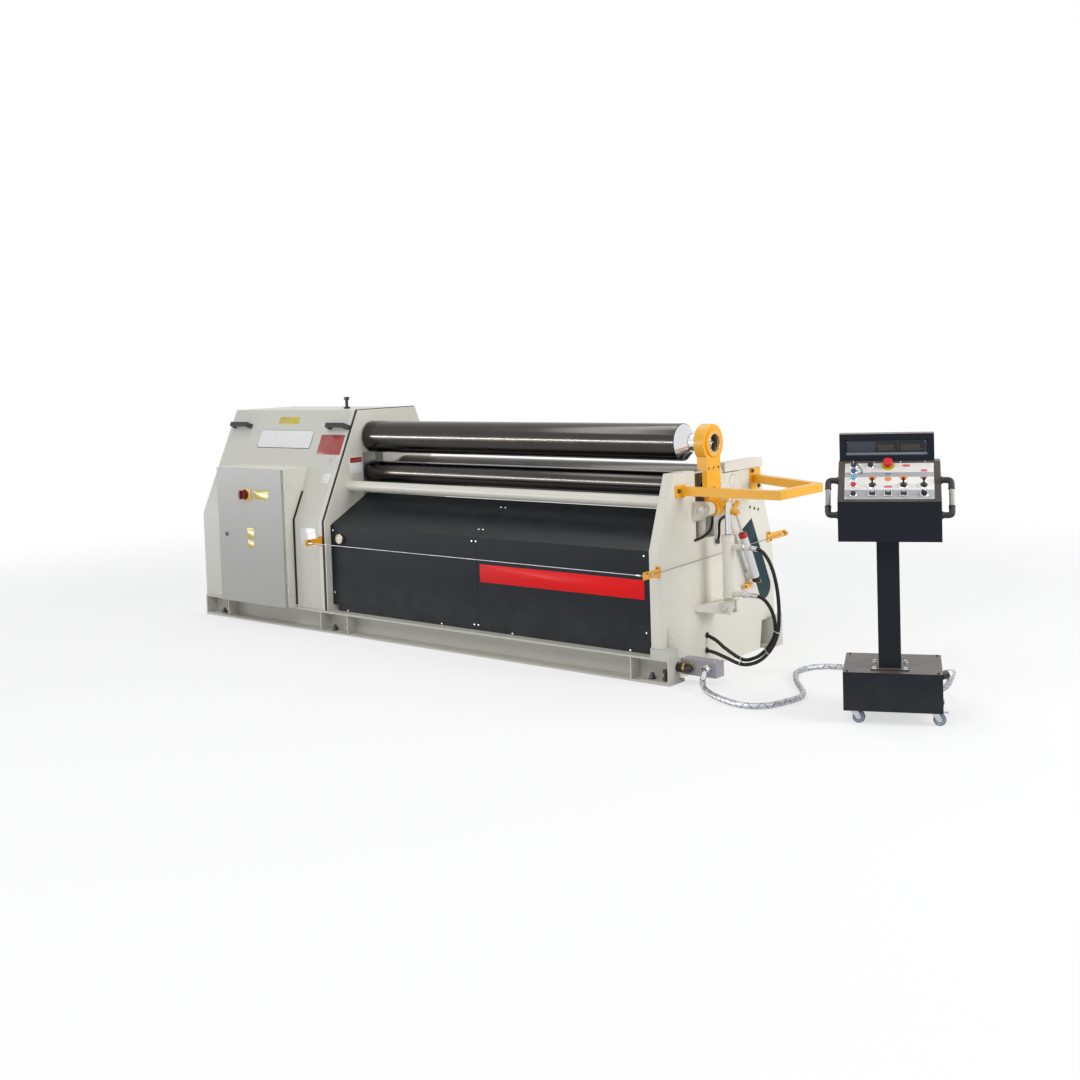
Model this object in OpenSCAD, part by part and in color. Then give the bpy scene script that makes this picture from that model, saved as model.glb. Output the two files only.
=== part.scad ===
// Three-roll plate bending machine with a hydraulic drop end and a mobile control desk.
// Millimetres. X runs along the rolls toward the drop end, Y toward the rear, Z up.
// Origin: floor level, at the middle of the four corner anchor bolts.

/* [Base] */
// Length of the base over the end plates
base_length = 3380; // [2600:10:4200]
// Width of the base over the two rails
base_width = 1030; // [800:10:1400]
// Height of each base rail
rail_height = 120; // [80:5:200]
// Width of a rail flange
rail_flange_width = 80; // [60:5:120]
// Thickness of a rail flange
rail_flange_thickness = 10; // [6:1:16]
// Thickness of a rail web
rail_web_thickness = 8; // [5:1:14]
// Thickness of the rail end plates
end_plate_thickness = 10; // [6:1:20]
// Thickness of the rail stiffeners
stiffener_thickness = 8; // [5:1:14]
// Length of the corner foot plates
foot_plate_length = 160; // [100:5:240]
// Width of the corner foot plates
foot_plate_width = 125; // [90:5:180]
// Thickness of the corner foot plates
foot_plate_thickness = 14; // [10:1:25]
// Height of the packer under the front foot of the drop-end frame
front_packer_height = 42; // [10:1:80]
// Height of the packer under the rear foot of the drop-end frame
rear_packer_height = 20; // [10:1:80]
// Height of the drop-end end plates
end_plate_height = 162; // [120:1:200]
// Distance of the corner anchor holes from the ends of the base
anchor_end_inset = 120; // [80:1:145]
// Distance of the anchor holes from the sides of the base
anchor_side_inset = 40; // [30:1:60]
// Distance of the middle anchor holes past the inner face of the drive-side frame
anchor_middle_offset = 23; // [0:1:120]
// Anchor hole diameter
anchor_hole_diameter = 22; // [14:1:32]
// Size of the cross member tubes, width
cross_member_width = 80; // [50:5:120]
// Size of the cross member tubes, height
cross_member_height = 96; // [50:1:106]
// Wall of the cross member tubes
cross_member_wall = 6; // [4:1:12]
// Gap between the side frames and the cross members beside them
cross_member_gap = 5; // [0:1:40]
// Distance of the left stiffeners from the end of the base
stiffener_left_inset = 215; // [190:1:400]
// Distance of the stiffeners left of the drive-side frame's inner face
stiffener_frame_left = 50; // [10:1:200]
// Distance of the stiffeners right of the drive-side frame's inner face
stiffener_frame_right = 166; // [160:1:400]
// Distance of the right stiffeners from the drop-end frame
stiffener_drop_offset = 113; // [20:1:400]

/* [Levelling bolts] */
// Shank diameter of the levelling bolts
levelling_bolt_diameter = 20; // [12:1:30]
// Hex size across corners of bolt head and nut
levelling_nut_corners = 34; // [20:1:50]
// Height of nut and head
levelling_nut_height = 14; // [8:1:24]
// Overall length of the levelling bolts
levelling_bolt_length = 62; // [40:1:90]
// Distance of the left levelling bolts from the end of the base
levelling_left_inset = 180; // [178:1:190]
// Distance of the right levelling bolts from the end of the base
levelling_right_inset = 44; // [30:1:70]
// Distance of the middle levelling bolts past the middle anchor holes
levelling_middle_offset = 115; // [40:1:120]
// Clearance of the levelling bolt holes
levelling_hole_gap = 1; // [0.5:0.5:3]

/* [Side frames] */
// Thickness of both side frame plates
frame_thickness = 55; // [40:1:80]
// Inner face of the drive-side frame
drive_frame_inner_x = -600; // [-900:5:-300]
// Distance of the drop-end frame from the end of the base
drop_frame_margin = 45; // [42:1:70]
// Distance of the drop-end frame's front edge from the side of the base
frame_front_setback = 10; // [0:1:40]
// Height where the front edge of the drop-end frame starts to lean back
frame_fold_z = 603; // [500:1:700]
// How far the front edge leans back up to its top
frame_lean = 131; // [80:1:150]
// Height of the front part of the drop-end frame
drop_frame_top = 945; // [860:1:1000]
// How far the seat of the slot cap lies below that
cap_seat_drop = 27; // [10:1:60]
// Height of the upper corner of the drop-end frame's rear edge
frame_upper_z = 741; // [640:1:800]
// Distance of the upper corner from the side of the base
frame_upper_inset = 75; // [60:1:100]
// Height of the middle corner of the rear edge
frame_middle_z = 594; // [500:1:640]
// Distance of the middle corner from the side of the base
frame_middle_inset = 25; // [10:1:50]
// Height where the rear edge starts to lean in
frame_lower_z = 427; // [400:1:500]
// Distance of the rear foot of the frames from the side of the base, at its top
heel_inset = 125; // [80:1:160]
// Distance of the rear foot of the frames from the side of the base, at the floor
toe_inset = 150; // [80:1:200]
// Thickness of the foot gusset
gusset_thickness = 8; // [5:1:16]
// Distance of the foot gusset in front of the rail's web side
gusset_setback = 17; // [8:1:40]
// Height of the foot gusset at the frame
gusset_height = 97; // [60:1:160]
// Height of the foot gusset at its outer edge
gusset_edge_height = 33; // [10:1:60]
// Reach of the foot gusset
gusset_reach = 35; // [20:1:45]

/* [Slots] */
// Width of the lower roll slots
pinch_slot_width = 160; // [120:1:200]
// Depth of the lower roll slots below the resting blocks
pinch_slot_depth = 167; // [150:1:200]
// Headroom of the drive-side window above the resting block
pinch_window_headroom = 52; // [50:1:60]
// Width of the rear roll slots
rear_slot_width = 122; // [100:1:130]
// Lean of the rear roll slots from vertical
rear_slot_lean = 26.5; // [20:0.5:28]
// Distance of the slot centreline from the side of the base, at the lower end of the resting block
rear_slot_inset = 257; // [256:1:290]
// How far that point lies below the seat of the slot cap
rear_slot_drop = 278; // [260:1:290]
// Distance from there down to the centre of the round slot end
rear_slot_depth = 372; // [330:1:374]
// Gap between sliding blocks and slot flanks
slot_clearance = 1; // [0.3:0.1:3]

/* [Slot cap] */
// Height of the cap bar over the rear slot
cap_height = 43; // [30:1:60]
// Distance of the rear end of the cap bar from the side of the base
cap_rear_inset = 108; // [90:1:130]
// How far the cap bar stands out of the frame
cap_overhang = 14; // [0:1:30]

/* [Rolls] */
// Diameter of the top roll
top_roll_diameter = 180; // [150:1:220]
// Height of the top roll axis
top_roll_z = 1072; // [1040:1:1120]
// Y of the top and lower roll axes
top_roll_y = -115; // [-150:1:-80]
// Diameter of the lower roll
pinch_roll_diameter = 130; // [100:1:140]
// Opening between the top and lower rolls when the lower roll is down
roll_opening = 50; // [50:1:70]
// Diameter of the rear roll
rear_roll_diameter = 150; // [100:1:170]
// Distance of the rear roll axis above the lower end of its block
rear_roll_offset = 257; // [240:1:265]
// Gap between the drive-side frame and the roll barrels
roll_drive_gap = 12; // [6:1:40]
// Distance of the full roll diameter from the drop-end frame
roll_end_gap = 54; // [30:1:100]
// Gap between the roll's end cone and the bearing eye or block
roll_cone_gap = 4; // [2:0.5:10]
// Step from the full diameter down to the end cone
roll_cone_step = 2; // [1:0.5:6]
// Diameter of the top roll where the end cone meets the journal
roll_cone_end_diameter = 94; // [86:1:110]
// Diameter of the top roll journals
top_journal_diameter = 80; // [60:1:84]
// Diameter of the nose at the free end of the top roll
top_nose_diameter = 60; // [40:1:78]
// Depth at which the top roll's nose cone starts inside the bearing eye
nose_start_depth = 5; // [3:1:20]
// Reach of the free end of the top roll past the drop-end frame
nose_reach = 35; // [20:1:50]
// Diameter of the lower and rear roll journals
lower_journal_diameter = 60; // [40:1:70]
// Step from the journals up to the end cones of the lower rolls
lower_cone_step = 4; // [1:0.5:10]
// Radial gap in the roll bearings
bearing_gap = 1; // [0.2:0.1:3]
// How far the journals stay inside the blocks and the drive-side frame
journal_inset = 4; // [2:1:10]

/* [Roll blocks] */
// Height of the lower roll blocks
pinch_block_height = 145; // [120:1:170]
// Distance of the block top above the lower roll axis
pinch_block_top = 65; // [50:1:75]
// Gap between moving blocks and the covers or cylinders beside them
block_side_gap = 6; // [4:0.5:15]
// Gap between the rear roll block and the slot cap
rear_block_top_gap = 6; // [4:0.5:20]
// Diameter of the lower roll ram
ram_diameter = 30; // [20:1:44]
// Outer diameter of the lower roll cylinders
ram_cylinder_diameter = 50; // [40:1:54]
// Height of the lower roll cylinders
ram_cylinder_height = 115; // [60:1:130]
// Floor thickness of the lower roll cylinders
ram_cylinder_floor = 12; // [6:1:20]
// Length of the lower roll rams below the block
ram_length = 130; // [100:1:150]
// Depth of the rear roll cylinder bodies along the rolls
rear_cylinder_depth = 90; // [50:1:140]
// Gap between the rear cylinder body and the resting block end
rear_cylinder_gap = 6; // [5:1:20]
// How far the rear cylinder bodies reach past each flank of the slot
rear_cylinder_lap = 8; // [4:1:10]
// Depth of the rear cylinder's face below the outer face of the drop-side frame
rear_cylinder_inset = 3; // [1:1:20]
// Free height of slot kept under the resting rear block for its travel
rear_block_sink = 106; // [106:1:150]

/* [Drop end] */
// Distance of the drop-end hinge axis past the drop-end frame
hinge_reach = 62; // [50:1:90]
// Distance of the drop-end hinge axis below the top roll axis
hinge_drop = 303; // [290:1:330]
// Hinge pin diameter
hinge_pin_diameter = 34; // [24:1:44]
// How far the hinge pin stands out of the lugs
hinge_pin_proud = 6; // [2:1:12]
// Outer radius of the hinge barrel
hinge_barrel_radius = 38; // [28:1:44]
// Width of the hinge barrel
hinge_barrel_width = 90; // [60:1:100]
// Running gap around the hinge pin
hinge_pin_gap = 1; // [0.2:0.1:2]
// Gap between hinge barrel and lugs
hinge_side_gap = 7; // [5:0.5:12]
// Outer radius of the hinge lugs
lug_radius = 31; // [28:1:46]
// Height of the root of the hinge lugs below the hinge axis
lug_root = 62; // [40:1:90]
// Width of the front hinge lug
front_lug_width = 50; // [40:1:110]
// Width of the rear hinge lug
rear_lug_width = 40; // [25:1:70]
// Outer radius of the bearing eye
eye_radius = 88; // [80:1:100]
// Bore radius of the bearing eye
eye_bore_radius = 43; // [41:1:50]
// Radius of the entry cone of the bearing eye
eye_mouth_radius = 62; // [52:1:70]
// Gap between the bearing eye and the outer face of the drop-end frame
eye_side_gap = 2; // [0:1:10]
// Distance of the block under the bearing eye below the eye
eye_block_drop = 39; // [20:1:60]
// Reach of the bearing eye past the drop-end frame
eye_reach = 55; // [45:1:70]
// Radius of the raised ring on the bearing eye
eye_ring_radius = 66; // [58:1:80]
// Height of the raised ring on the bearing eye
eye_ring_height = 8; // [3:1:12]
// Thickness of the stem of the drop end
stem_thickness = 26; // [20:1:50]
// How far the stem reaches below the hinge axis
stem_tail = 33; // [10:1:36]
// Width of the stem of the drop end
stem_width = 120; // [92:1:150]
// Distance of the stem's shoulder above the hinge axis
stem_shoulder_rise = 53; // [50:1:80]
// How far the stem reaches into the bearing eye
stem_lap = 28; // [10:1:40]
// Length of the drop-end lever, hinge to rod pin
lever_length = 74.6; // [70:0.1:80]
// Angle of the lever above level when closed
lever_angle = 35.2; // [30:0.1:40]
// Outer radius of the lever and rod eyes
lever_eye_radius = 18; // [14:1:22]
// How far the rod's shank reaches into its eye
rod_eye_root = 4; // [2:1:8]
// Half width of the lever where it leaves the hinge barrel
lever_root = 30; // [20:1:32]
// Distance of the lever's root from the hinge axis
lever_start = 20; // [19:1:30]
// Thickness of each lever cheek
lever_cheek = 12; // [8:1:20]
// Gap between rod eye and lever cheek
lever_gap = 3; // [1:0.5:5]
// Thickness of the rod eye
rod_eye_thickness = 22; // [16:1:30]
// Radius of the rod pin heads
rod_pin_head_radius = 12; // [8:1:16]
// Height of the rod pin heads
rod_pin_head_height = 7; // [3:1:10]

/* [Drop cylinder] */
// Outer diameter of the drop-end cylinder
drop_cylinder_diameter = 56; // [44:1:64]
// Distance of the top of the cylinder below the rod pin
drop_cylinder_gap = 175; // [120:1:180]
// Length of the cylinder tube
drop_cylinder_length = 289; // [260:1:330]
// Rod diameter
drop_rod_diameter = 24; // [18:1:30]
// Running gap around the rod
drop_rod_gap = 0.5; // [0.2:0.1:1.5]
// Length of the rod below its pin
drop_rod_length = 250; // [200:5:300]
// Distance of the lower pin below the cylinder tube
clevis_drop = 44; // [34:1:60]
// Lower pin diameter
clevis_pin_diameter = 20; // [14:1:26]
// Running gap around the lower pin
clevis_pin_gap = 0.2; // [0.1:0.1:1]
// Radius of the cylinder foot eye
clevis_eye_radius = 20; // [16:1:26]
// Thickness of the cylinder foot eye
clevis_eye_thickness = 30; // [20:1:40]
// Gap beside the cylinder foot eye
clevis_side_gap = 2; // [0.5:0.5:5]
// Distance of the bottom of the cylinder bracket below the lower pin
bracket_below = 28; // [18:1:40]
// Distance of the top of the cylinder bracket above the lower pin
bracket_above = 30; // [18:1:40]
// Height of the bracket where it meets the frame
bracket_root_height = 26; // [16:1:50]
// Rise of the bracket's underside from the fork to the frame
bracket_root_rise = 12; // [0:1:20]
// Half width of the bracket where it meets the frame
bracket_root_half = 113; // [80:1:140]
// Half width of the bracket fork
bracket_fork_half = 46; // [35:1:60]
// Distance from the lower pin to the end of the bracket fork
bracket_tip = 28; // [20:1:40]
// Distance from the lower pin back to the foot of the bracket fork
bracket_throat = 24; // [22:1:40]
// Distance of the upper port below the top of the cylinder
upper_port_drop = 49; // [30:1:80]
// Distance of the lower port above the bottom of the cylinder
lower_port_rise = 20; // [16:1:60]
// Distance from the cylinder axis to the end of the hose fittings
port_reach = 117; // [90:1:150]
// Radius of the hose fittings
port_radius = 13; // [9:1:18]
// How far the port nuts stand out past the hose fittings
port_nut_step = 3; // [2:1:5]
// Length of the hose fittings' end sleeves
port_sleeve = 40; // [20:1:45]

/* [Guard bar] */
// Side of the square guard tube
guard_tube = 40; // [25:1:60]
// Distance of the guard tube axis below the top of the drop-end frame
guard_drop = 83; // [60:1:120]
// Reach of the guard past the drop-end frame
guard_reach = 500; // [485:1:600]
// Distance of the front guard arm from the front side of the base
guard_front_inset = 211; // [190:1:230]
// Distance of the guard's rear corner behind the front arm
guard_corner_offset = 371; // [300:1:420]
// Distance of the guard's rear fixing from the rear side of the base
guard_rear_inset = 169; // [150:1:180]
// Thickness of the guard fixing plates
guard_plate = 8; // [5:1:16]
// Half height of the front fixing plate
guard_front_plate_half = 28; // [24:1:60]
// How far the front fixing plate stands out in front of the guard tube
guard_front_plate_reach = 40; // [30:1:60]
// Half width of the rear fixing plate
guard_rear_plate_half = 45; // [30:1:60]
// Half height of the rear fixing plate
guard_rear_plate_height = 54; // [30:1:70]

/* [Tie bars] */
// Diameter of the tie bars
tie_bar_diameter = 58; // [40:1:70]
// Distance of the front tie bar in front of the roll axes
front_tie_offset = 185; // [160:1:200]
// Z of the front tie bar
front_tie_z = 804; // [790:1:860]
// Distance of the rear tie bar from the side of the base
rear_tie_inset = 100; // [95:1:120]
// Z of the rear tie bar
rear_tie_z = 600; // [580:1:640]

/* [Housing] */
// How far the housing overhangs the end of the base
housing_overhang = 10; // [0:1:60]
// Distance of the housing from the sides of the base
housing_setback = 15; // [5:1:30]
// Height where the front face starts to lean back
housing_fold_z = 618; // [500:1:700]
// How far the front face leans back up to the roof
housing_front_lean = 285; // [200:1:320]
// How far the rear face leans in up to the roof
housing_rear_lean = 260; // [150:1:300]
// Height where the rear face starts to lean in
housing_rear_fold_z = 615; // [500:1:760]
// Roof height of the housing
housing_top_z = 1228; // [1180:1:1400]
// Width of the rubber seals
seal_width = 13; // [6:1:18]
// How far the seals stand proud
seal_proud = 4; // [2:0.5:8]
// Gap between the base and the service seam's seal
seam_bottom_gap = 14; // [0:1:40]
// Height of the top of the service seam's seal
seam_top_z = 776; // [720:1:1000]
// Distance of the frame seal from the frame's inner face
frame_seal_inset = 22; // [18:1:40]
// Distance of the lift handles from the housing middle
handle_offset = 435; // [300:1:440]
// Height of the lift handles up the slope
handle_z = 1130; // [1000:1:1160]
// Length of a lift handle
handle_length = 176; // [120:1:200]
// Stand-off of a lift handle
handle_height = 44; // [30:1:60]
// Width of a lift handle
handle_width = 26; // [16:1:40]
// Thickness of a lift handle's grip
handle_grip = 13; // [8:1:20]
// Length of a lift handle's feet
handle_foot = 24; // [14:1:34]
// How far a lift handle's ends slope in
handle_slope = 12; // [4:1:20]
// Distance of the stop bolt from the frame's inner face
stop_bolt_offset = 282; // [120:1:400]
// Y of the stop bolt on the roof
stop_bolt_y = -44; // [-120:1:150]
// Height of the stop bolt above the roof
stop_bolt_height = 70; // [40:1:100]
// Diameter of the stop bolt
stop_bolt_diameter = 18; // [10:1:24]
// Size across corners of the stop bolt's head
stop_bolt_head = 33; // [26:1:44]
// Height of the stop bolt's head
stop_bolt_head_height = 18; // [10:1:26]
// Diameter of the stop bolt's foot flange
stop_bolt_flange = 38; // [28:1:60]
// Height of the stop bolt's foot flange
stop_bolt_flange_height = 12; // [4:1:20]

/* [Electric cabinet] */
// Distance of the electric cabinet from the left end of the housing
cabinet_left_inset = 250; // [100:1:300]
// Distance of the electric cabinet from the outer face of the drive-side frame
cabinet_right_inset = 213; // [120:1:260]
// How far the cabinet stands in front of the housing
cabinet_depth = 78; // [50:1:120]
// Top of the electric cabinet
cabinet_top_z = 909; // [820:1:1000]
// Thickness of the cabinet door
door_thickness = 18; // [10:1:30]
// Gap between the closed door and the cabinet
door_back_gap = 1; // [0.5:0.5:3]
// Sheet thickness of the cabinet's back
cabinet_wall = 3; // [2:0.5:6]
// Width of the rim around the cabinet's opening
cabinet_rim = 22; // [10:1:40]
// Gap around the cabinet door
door_gap = 2; // [1:0.5:4]
// Radius of the door hinge knuckles
door_hinge_radius = 7; // [5:0.5:10]
// Length of the door hinge knuckles
door_hinge_length = 40; // [20:1:80]
// Distance of the hinge knuckles from the cabinet's lower and upper ends
door_hinge_inset = 80; // [40:1:160]
// Thickness of the hinge leaves
door_hinge_leaf = 5; // [3:0.5:7]
// Distance of the main switch from the cabinet's left side
switch_inset = 260; // [120:1:400]
// Distance of the main switch below the cabinet's top
switch_drop = 151; // [80:1:300]
// Diameter of the main switch knob
switch_diameter = 50; // [36:1:70]
// Height of the main switch knob
switch_height = 32; // [20:1:40]
// Height of the grip on the main switch knob
switch_grip_height = 12; // [6:1:20]
// Width of the grip on the main switch knob
switch_grip_width = 12; // [6:1:20]
// Diameter of the main switch shaft
switch_shaft_diameter = 12; // [8:1:16]
// Running gap around the main switch shaft
switch_shaft_gap = 0.5; // [0.2:0.1:1]
// Distance of the door lock from the cabinet's left side
door_lock_inset = 78; // [40:1:120]
// Z of the door lock
door_lock_z = 518; // [300:1:700]
// Diameter of the door lock
door_lock_diameter = 24; // [14:1:34]
// How far the door lock stands proud
door_lock_proud = 6; // [2:1:12]

/* [Covers] */
// Distance of the front cover from the side of the base
cover_setback = 55; // [40:1:70]
// Height of the fold of the front cover
cover_fold_z = 597; // [500:1:680]
// How far the front cover leans back above its fold
cover_lean = 296; // [260:1:300]
// Z of the upper edge of the front cover
cover_top_z = 753; // [720:1:770]
// Sheet thickness of the covers
cover_sheet = 4; // [2:0.5:8]
// Width of the joint between the cover halves
cover_joint_gap = 2; // [1:0.5:6]
// Width of the corner notches of the front cover
cover_notch_width = 40; // [20:1:80]
// Height of the corner notches of the front cover
cover_notch_height = 32; // [15:1:60]
// Distance of the rear cover from the side of the base
rear_cover_setback = 45; // [30:1:60]
// Height of the fold of the rear cover
rear_cover_fold_z = 430; // [350:1:480]
// How far the rear cover leans in above its fold
rear_cover_lean = 110; // [60:1:140]
// Z of the upper edge of the rear cover
rear_cover_top_z = 530; // [490:1:550]
// Gap between the rear cover and the rear roll cylinders
rear_cover_side_gap = 8; // [5:1:30]
// Distance of the pressure gauge from the drive-side frame
gauge_inset = 84; // [50:1:300]
// Z of the pressure gauge
gauge_z = 526; // [300:1:560]
// Diameter of the pressure gauge
gauge_diameter = 56; // [40:1:80]
// Depth of the pressure gauge
gauge_depth = 16; // [8:1:30]
// Width of the rim of the pressure gauge
gauge_rim = 4; // [2:1:8]
// Height of the glass of the pressure gauge
gauge_glass = 3; // [1:1:6]

/* [Trip wire] */
// Diameter of the trip wire
trip_wire_diameter = 4; // [2:0.5:8]
// Thickness of the trip wire arms
trip_arm_thickness = 8; // [5:1:12]
// Height of the trip wire arms
trip_arm_height = 34; // [20:1:50]
// How far the arms reach past the wire
trip_arm_tip = 10; // [4:1:20]
// Reach of the left arm in front of the housing
trip_left_reach = 100; // [60:1:160]
// Height of the left arm
trip_left_z = 512; // [450:1:560]
// Distance of the left arm from the frame's inner face
trip_left_offset = 40; // [36:1:60]
// Reach of the front arm at the drop end
trip_front_reach = 120; // [60:1:160]
// Height of the front arm at the drop end
trip_front_z = 514; // [450:1:560]
// Reach of the rear arm at the drop end
trip_rear_reach = 115; // [60:1:160]
// Height of the rear arm at the drop end
trip_rear_z = 553; // [520:1:580]
// Distance of the wire from the drop-end frame
trip_wire_standoff = 15; // [14:0.5:18]
// Thickness of the arms' fixing plates
trip_plate = 6; // [3:1:10]
// Height of the arms' fixing plates
trip_plate_height = 52; // [40:1:70]
// Width of the arms' fixing plates
trip_plate_width = 28; // [20:1:34]
// Length of the rear arm's fixing plate on the frame
trip_rear_plate = 60; // [40:1:80]
// Size of the wire holders at the drop end
trip_holder = 16; // [12:1:20]

/* [Position sensors] */
// Diameter of the position sensor tube
sensor_diameter = 40; // [25:1:44]
// Distance of the position sensor axis from the drop-end frame
sensor_reach = 45; // [40:1:60]
// Distance of the position sensor axis in front of the slot centreline
sensor_offset = 112; // [108:1:125]
// Height of the top of the sensor tube above the resting block's lower end
sensor_rise = 21; // [10:1:30]
// Length of the position sensor tube
sensor_length = 268; // [230:1:280]
// Diameter of the sensor rod
sensor_rod_diameter = 10; // [6:1:14]
// Running gap around the sensor rod
sensor_rod_gap = 1; // [0.5:0.1:2]
// Thickness of the closed lower end of the sensor tube
sensor_floor = 30; // [10:1:60]
// Distance from the tube to the pick-up on the block
sensor_stroke = 125; // [116:1:140]
// Depth of the sensor rod in the tube at rest
sensor_rod_depth = 40; // [20:1:90]
// Diameter of the disc on the pick-up
pickup_disc_diameter = 34; // [20:1:44]
// Height of the pick-up's disc and arm
pickup_height = 16; // [8:1:20]
// Gap between the moving pick-up arm and the frame
pickup_gap = 6; // [5:0.5:12]
// Reach of the pick-up arm over the block
pickup_lap = 40; // [20:1:60]
// Thickness of the pick-up arm
pickup_arm = 12; // [6:1:16]
// Distance of the sensor clamp below the top of the tube
clamp_drop = 215; // [20:1:220]
// Height of the sensor clamp
clamp_height = 36; // [20:1:48]
// Width of the sensor clamp
clamp_width = 46; // [30:1:60]

/* [Pipes and hoses] */
// Outer diameter of the hydraulic hoses
hose_diameter = 17; // [12:1:24]
// Outer diameter of the armoured conduit
conduit_diameter = 26; // [16:1:34]
// Diameter of the black cable pipe at the base end
cable_pipe_diameter = 38; // [25:1:46]
// How far the cable pipe leaves the base end
cable_pipe_reach = 55; // [40:1:80]
// Height of the cable pipe above the underside of the junction box
cable_pipe_rise = 32; // [22:1:40]
// Gap between the cable pipe and the junction box
cable_pipe_gap = 4; // [2:1:10]
// Length of the junction box
junction_length = 185; // [120:1:240]
// Depth of the junction box
junction_depth = 70; // [50:1:110]
// Height of the junction box
junction_height = 71; // [50:1:110]
// Distance of the junction box's front face behind the front side of the base
junction_setback = 95; // [85:1:98]
// Height of the lid of the junction box
junction_lid = 14; // [8:1:24]
// Underside of the junction box
junction_bottom_z = 41; // [20:1:80]

/* [Control desk] */
// X of the middle of the desk front at floor level
desk_x = 2785; // [2500:1:3200]
// Y of the middle of the desk front at floor level
desk_y = -573; // [-900:1:-300]
// How far the desk is turned
desk_turn = 24; // [0:1:45]
// Width of the desk foot
desk_foot_width = 382; // [320:1:500]
// Depth of the desk foot
desk_foot_depth = 350; // [280:1:450]
// Underside of the desk foot
desk_foot_bottom = 57; // [57:1:90]
// Top of the desk foot
desk_foot_top = 212; // [160:1:260]
// Width of the desk column
column_width = 87; // [60:1:140]
// Depth of the desk column
column_depth = 90; // [60:1:110]
// Distance of the desk column behind the desk front
column_setback = 75; // [40:1:95]
// Sideways offset of the desk column
column_offset = -10; // [-40:1:40]
// Width of the console
console_width = 394; // [340:1:480]
// Underside of the console
console_bottom = 735; // [680:1:780]
// Front edge height of the console panel
console_front_z = 893; // [850:1:940]
// Rear edge height of the console panel
console_rear_z = 1037; // [980:1:1060]
// Height where the console's back starts to lean in
console_back_z = 900; // [800:1:980]
// Depth of the underside of the console behind the desk front
console_under_depth = 190; // [188:1:220]
// Front face of the console, from the desk front
console_front = -20; // [-60:1:20]
// Front of the display box, from the desk front
display_front = 150; // [120:1:200]
// Back of the display box, from the desk front
display_back = 250; // [220:1:300]
// Width of the display box
display_width = 368; // [320:1:394]
// Top of the display box
display_top = 1147; // [1100:1:1200]
// Distance of the display box from the left side of the console
display_inset = 4; // [0:1:20]
// Width of the rim around the recess of the display box
display_rim = 24; // [10:1:40]
// Depth of the recess of the display box
display_recess = 12; // [6:1:25]
// Diameter of the desk side handles
desk_handle_diameter = 22; // [16:1:30]
// Stand-off of the desk side handles
desk_handle_reach = 38; // [25:1:60]
// Distance of the upper handle end behind the console's front
desk_handle_top_y = 82; // [60:1:110]
// Distance of the upper handle end below the top of the panel
desk_handle_top_drop = 69; // [60:1:90]
// Distance of the lower handle end behind the console's front
desk_handle_low_y = 20; // [14:1:50]
// Distance of the lower handle end below the front edge of the panel
desk_handle_low_drop = 55; // [30:1:90]
// How far the handle sockets are thicker than the handle
desk_handle_socket = 2; // [1:0.5:5]
// Angle of the conduit gland to the desk's width
gland_angle = 50; // [40:1:60]
// Distance of the conduit gland behind the desk front, at the foot's side
gland_setback = 84; // [60:1:120]
// Height of the conduit gland
gland_z = 190; // [150:1:194]
// Diameter of the conduit gland
gland_diameter = 34; // [32:1:40]
// Reach of the conduit gland
gland_length = 25; // [20:1:40]
// Distance of the emergency stop button up the panel
stop_button_along = 196; // [160:1:200]
// Sideways offset of the emergency stop button
stop_button_offset = -4; // [-40:1:40]
// Diameter of the emergency stop button
stop_button_diameter = 38; // [30:1:50]
// Height of the emergency stop button above the panel
stop_button_height = 28; // [24:1:36]
// Thickness of the cap of the emergency stop button
stop_cap_height = 12; // [8:1:16]
// Diameter of the shaft of the emergency stop button
stop_shaft_diameter = 18; // [12:1:22]
// Running gap around that shaft
stop_shaft_gap = 2; // [0.5:0.5:3]
// Depth of the hole under the emergency stop button
stop_shaft_depth = 24; // [16:1:34]
// Press travel of the emergency stop button
stop_button_travel = 5; // [3:0.5:8]

/* [Casters] */
// Diameter of the caster wheels
caster_wheel_diameter = 50; // [40:1:50]
// Width of the caster wheels
caster_wheel_width = 19; // [14:1:26]
// Gap between caster wheel and fork cheek
caster_side_gap = 2; // [1:0.5:4]
// Caster axle diameter
caster_axle_diameter = 8; // [6:1:12]
// Trail of the casters
caster_trail = 22; // [14:1:30]
// Sideways distance of the casters from the desk middle
caster_offset_x = 155; // [120:1:170]
// Distance of the front casters from the desk front
caster_front = 42; // [30:1:80]
// Distance of the rear casters from the desk front
caster_rear = 308; // [250:1:330]
// Height of the caster stems in the desk foot
caster_stem_height = 21; // [14:1:30]
// Free depth of the caster sockets above the stems, with the foot's bottom face
caster_socket_extra = 5; // [3:1:8]
// Diameter of the caster heads
caster_head_diameter = 34; // [26:1:44]
// Height of the caster heads
caster_head_height = 5; // [4:0.5:5]
// Length of the fork ahead of the stem
caster_head_front = 14; // [10:1:18]
// Length of the fork behind the stem
caster_head_back = 16; // [12:1:20]
// How far the fork cheeks reach around the axle
caster_fork_lap = 7; // [6:0.5:9]
// Thickness of the fork cheeks
fork_cheek = 3; // [2:0.5:4]
// Width of the brake levers
caster_brake_width = 16; // [10:1:22]
// Reach of the brake levers past the axle
caster_brake_reach = 34; // [28:1:40]
// Swivel stem diameter
caster_stem_diameter = 12; // [8:1:16]
// Gap between caster head and desk foot
caster_head_gap = 1; // [0.5:0.5:3]
// Running gap of axle and stem
caster_gap = 0.4; // [0.1:0.1:1]

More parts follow.
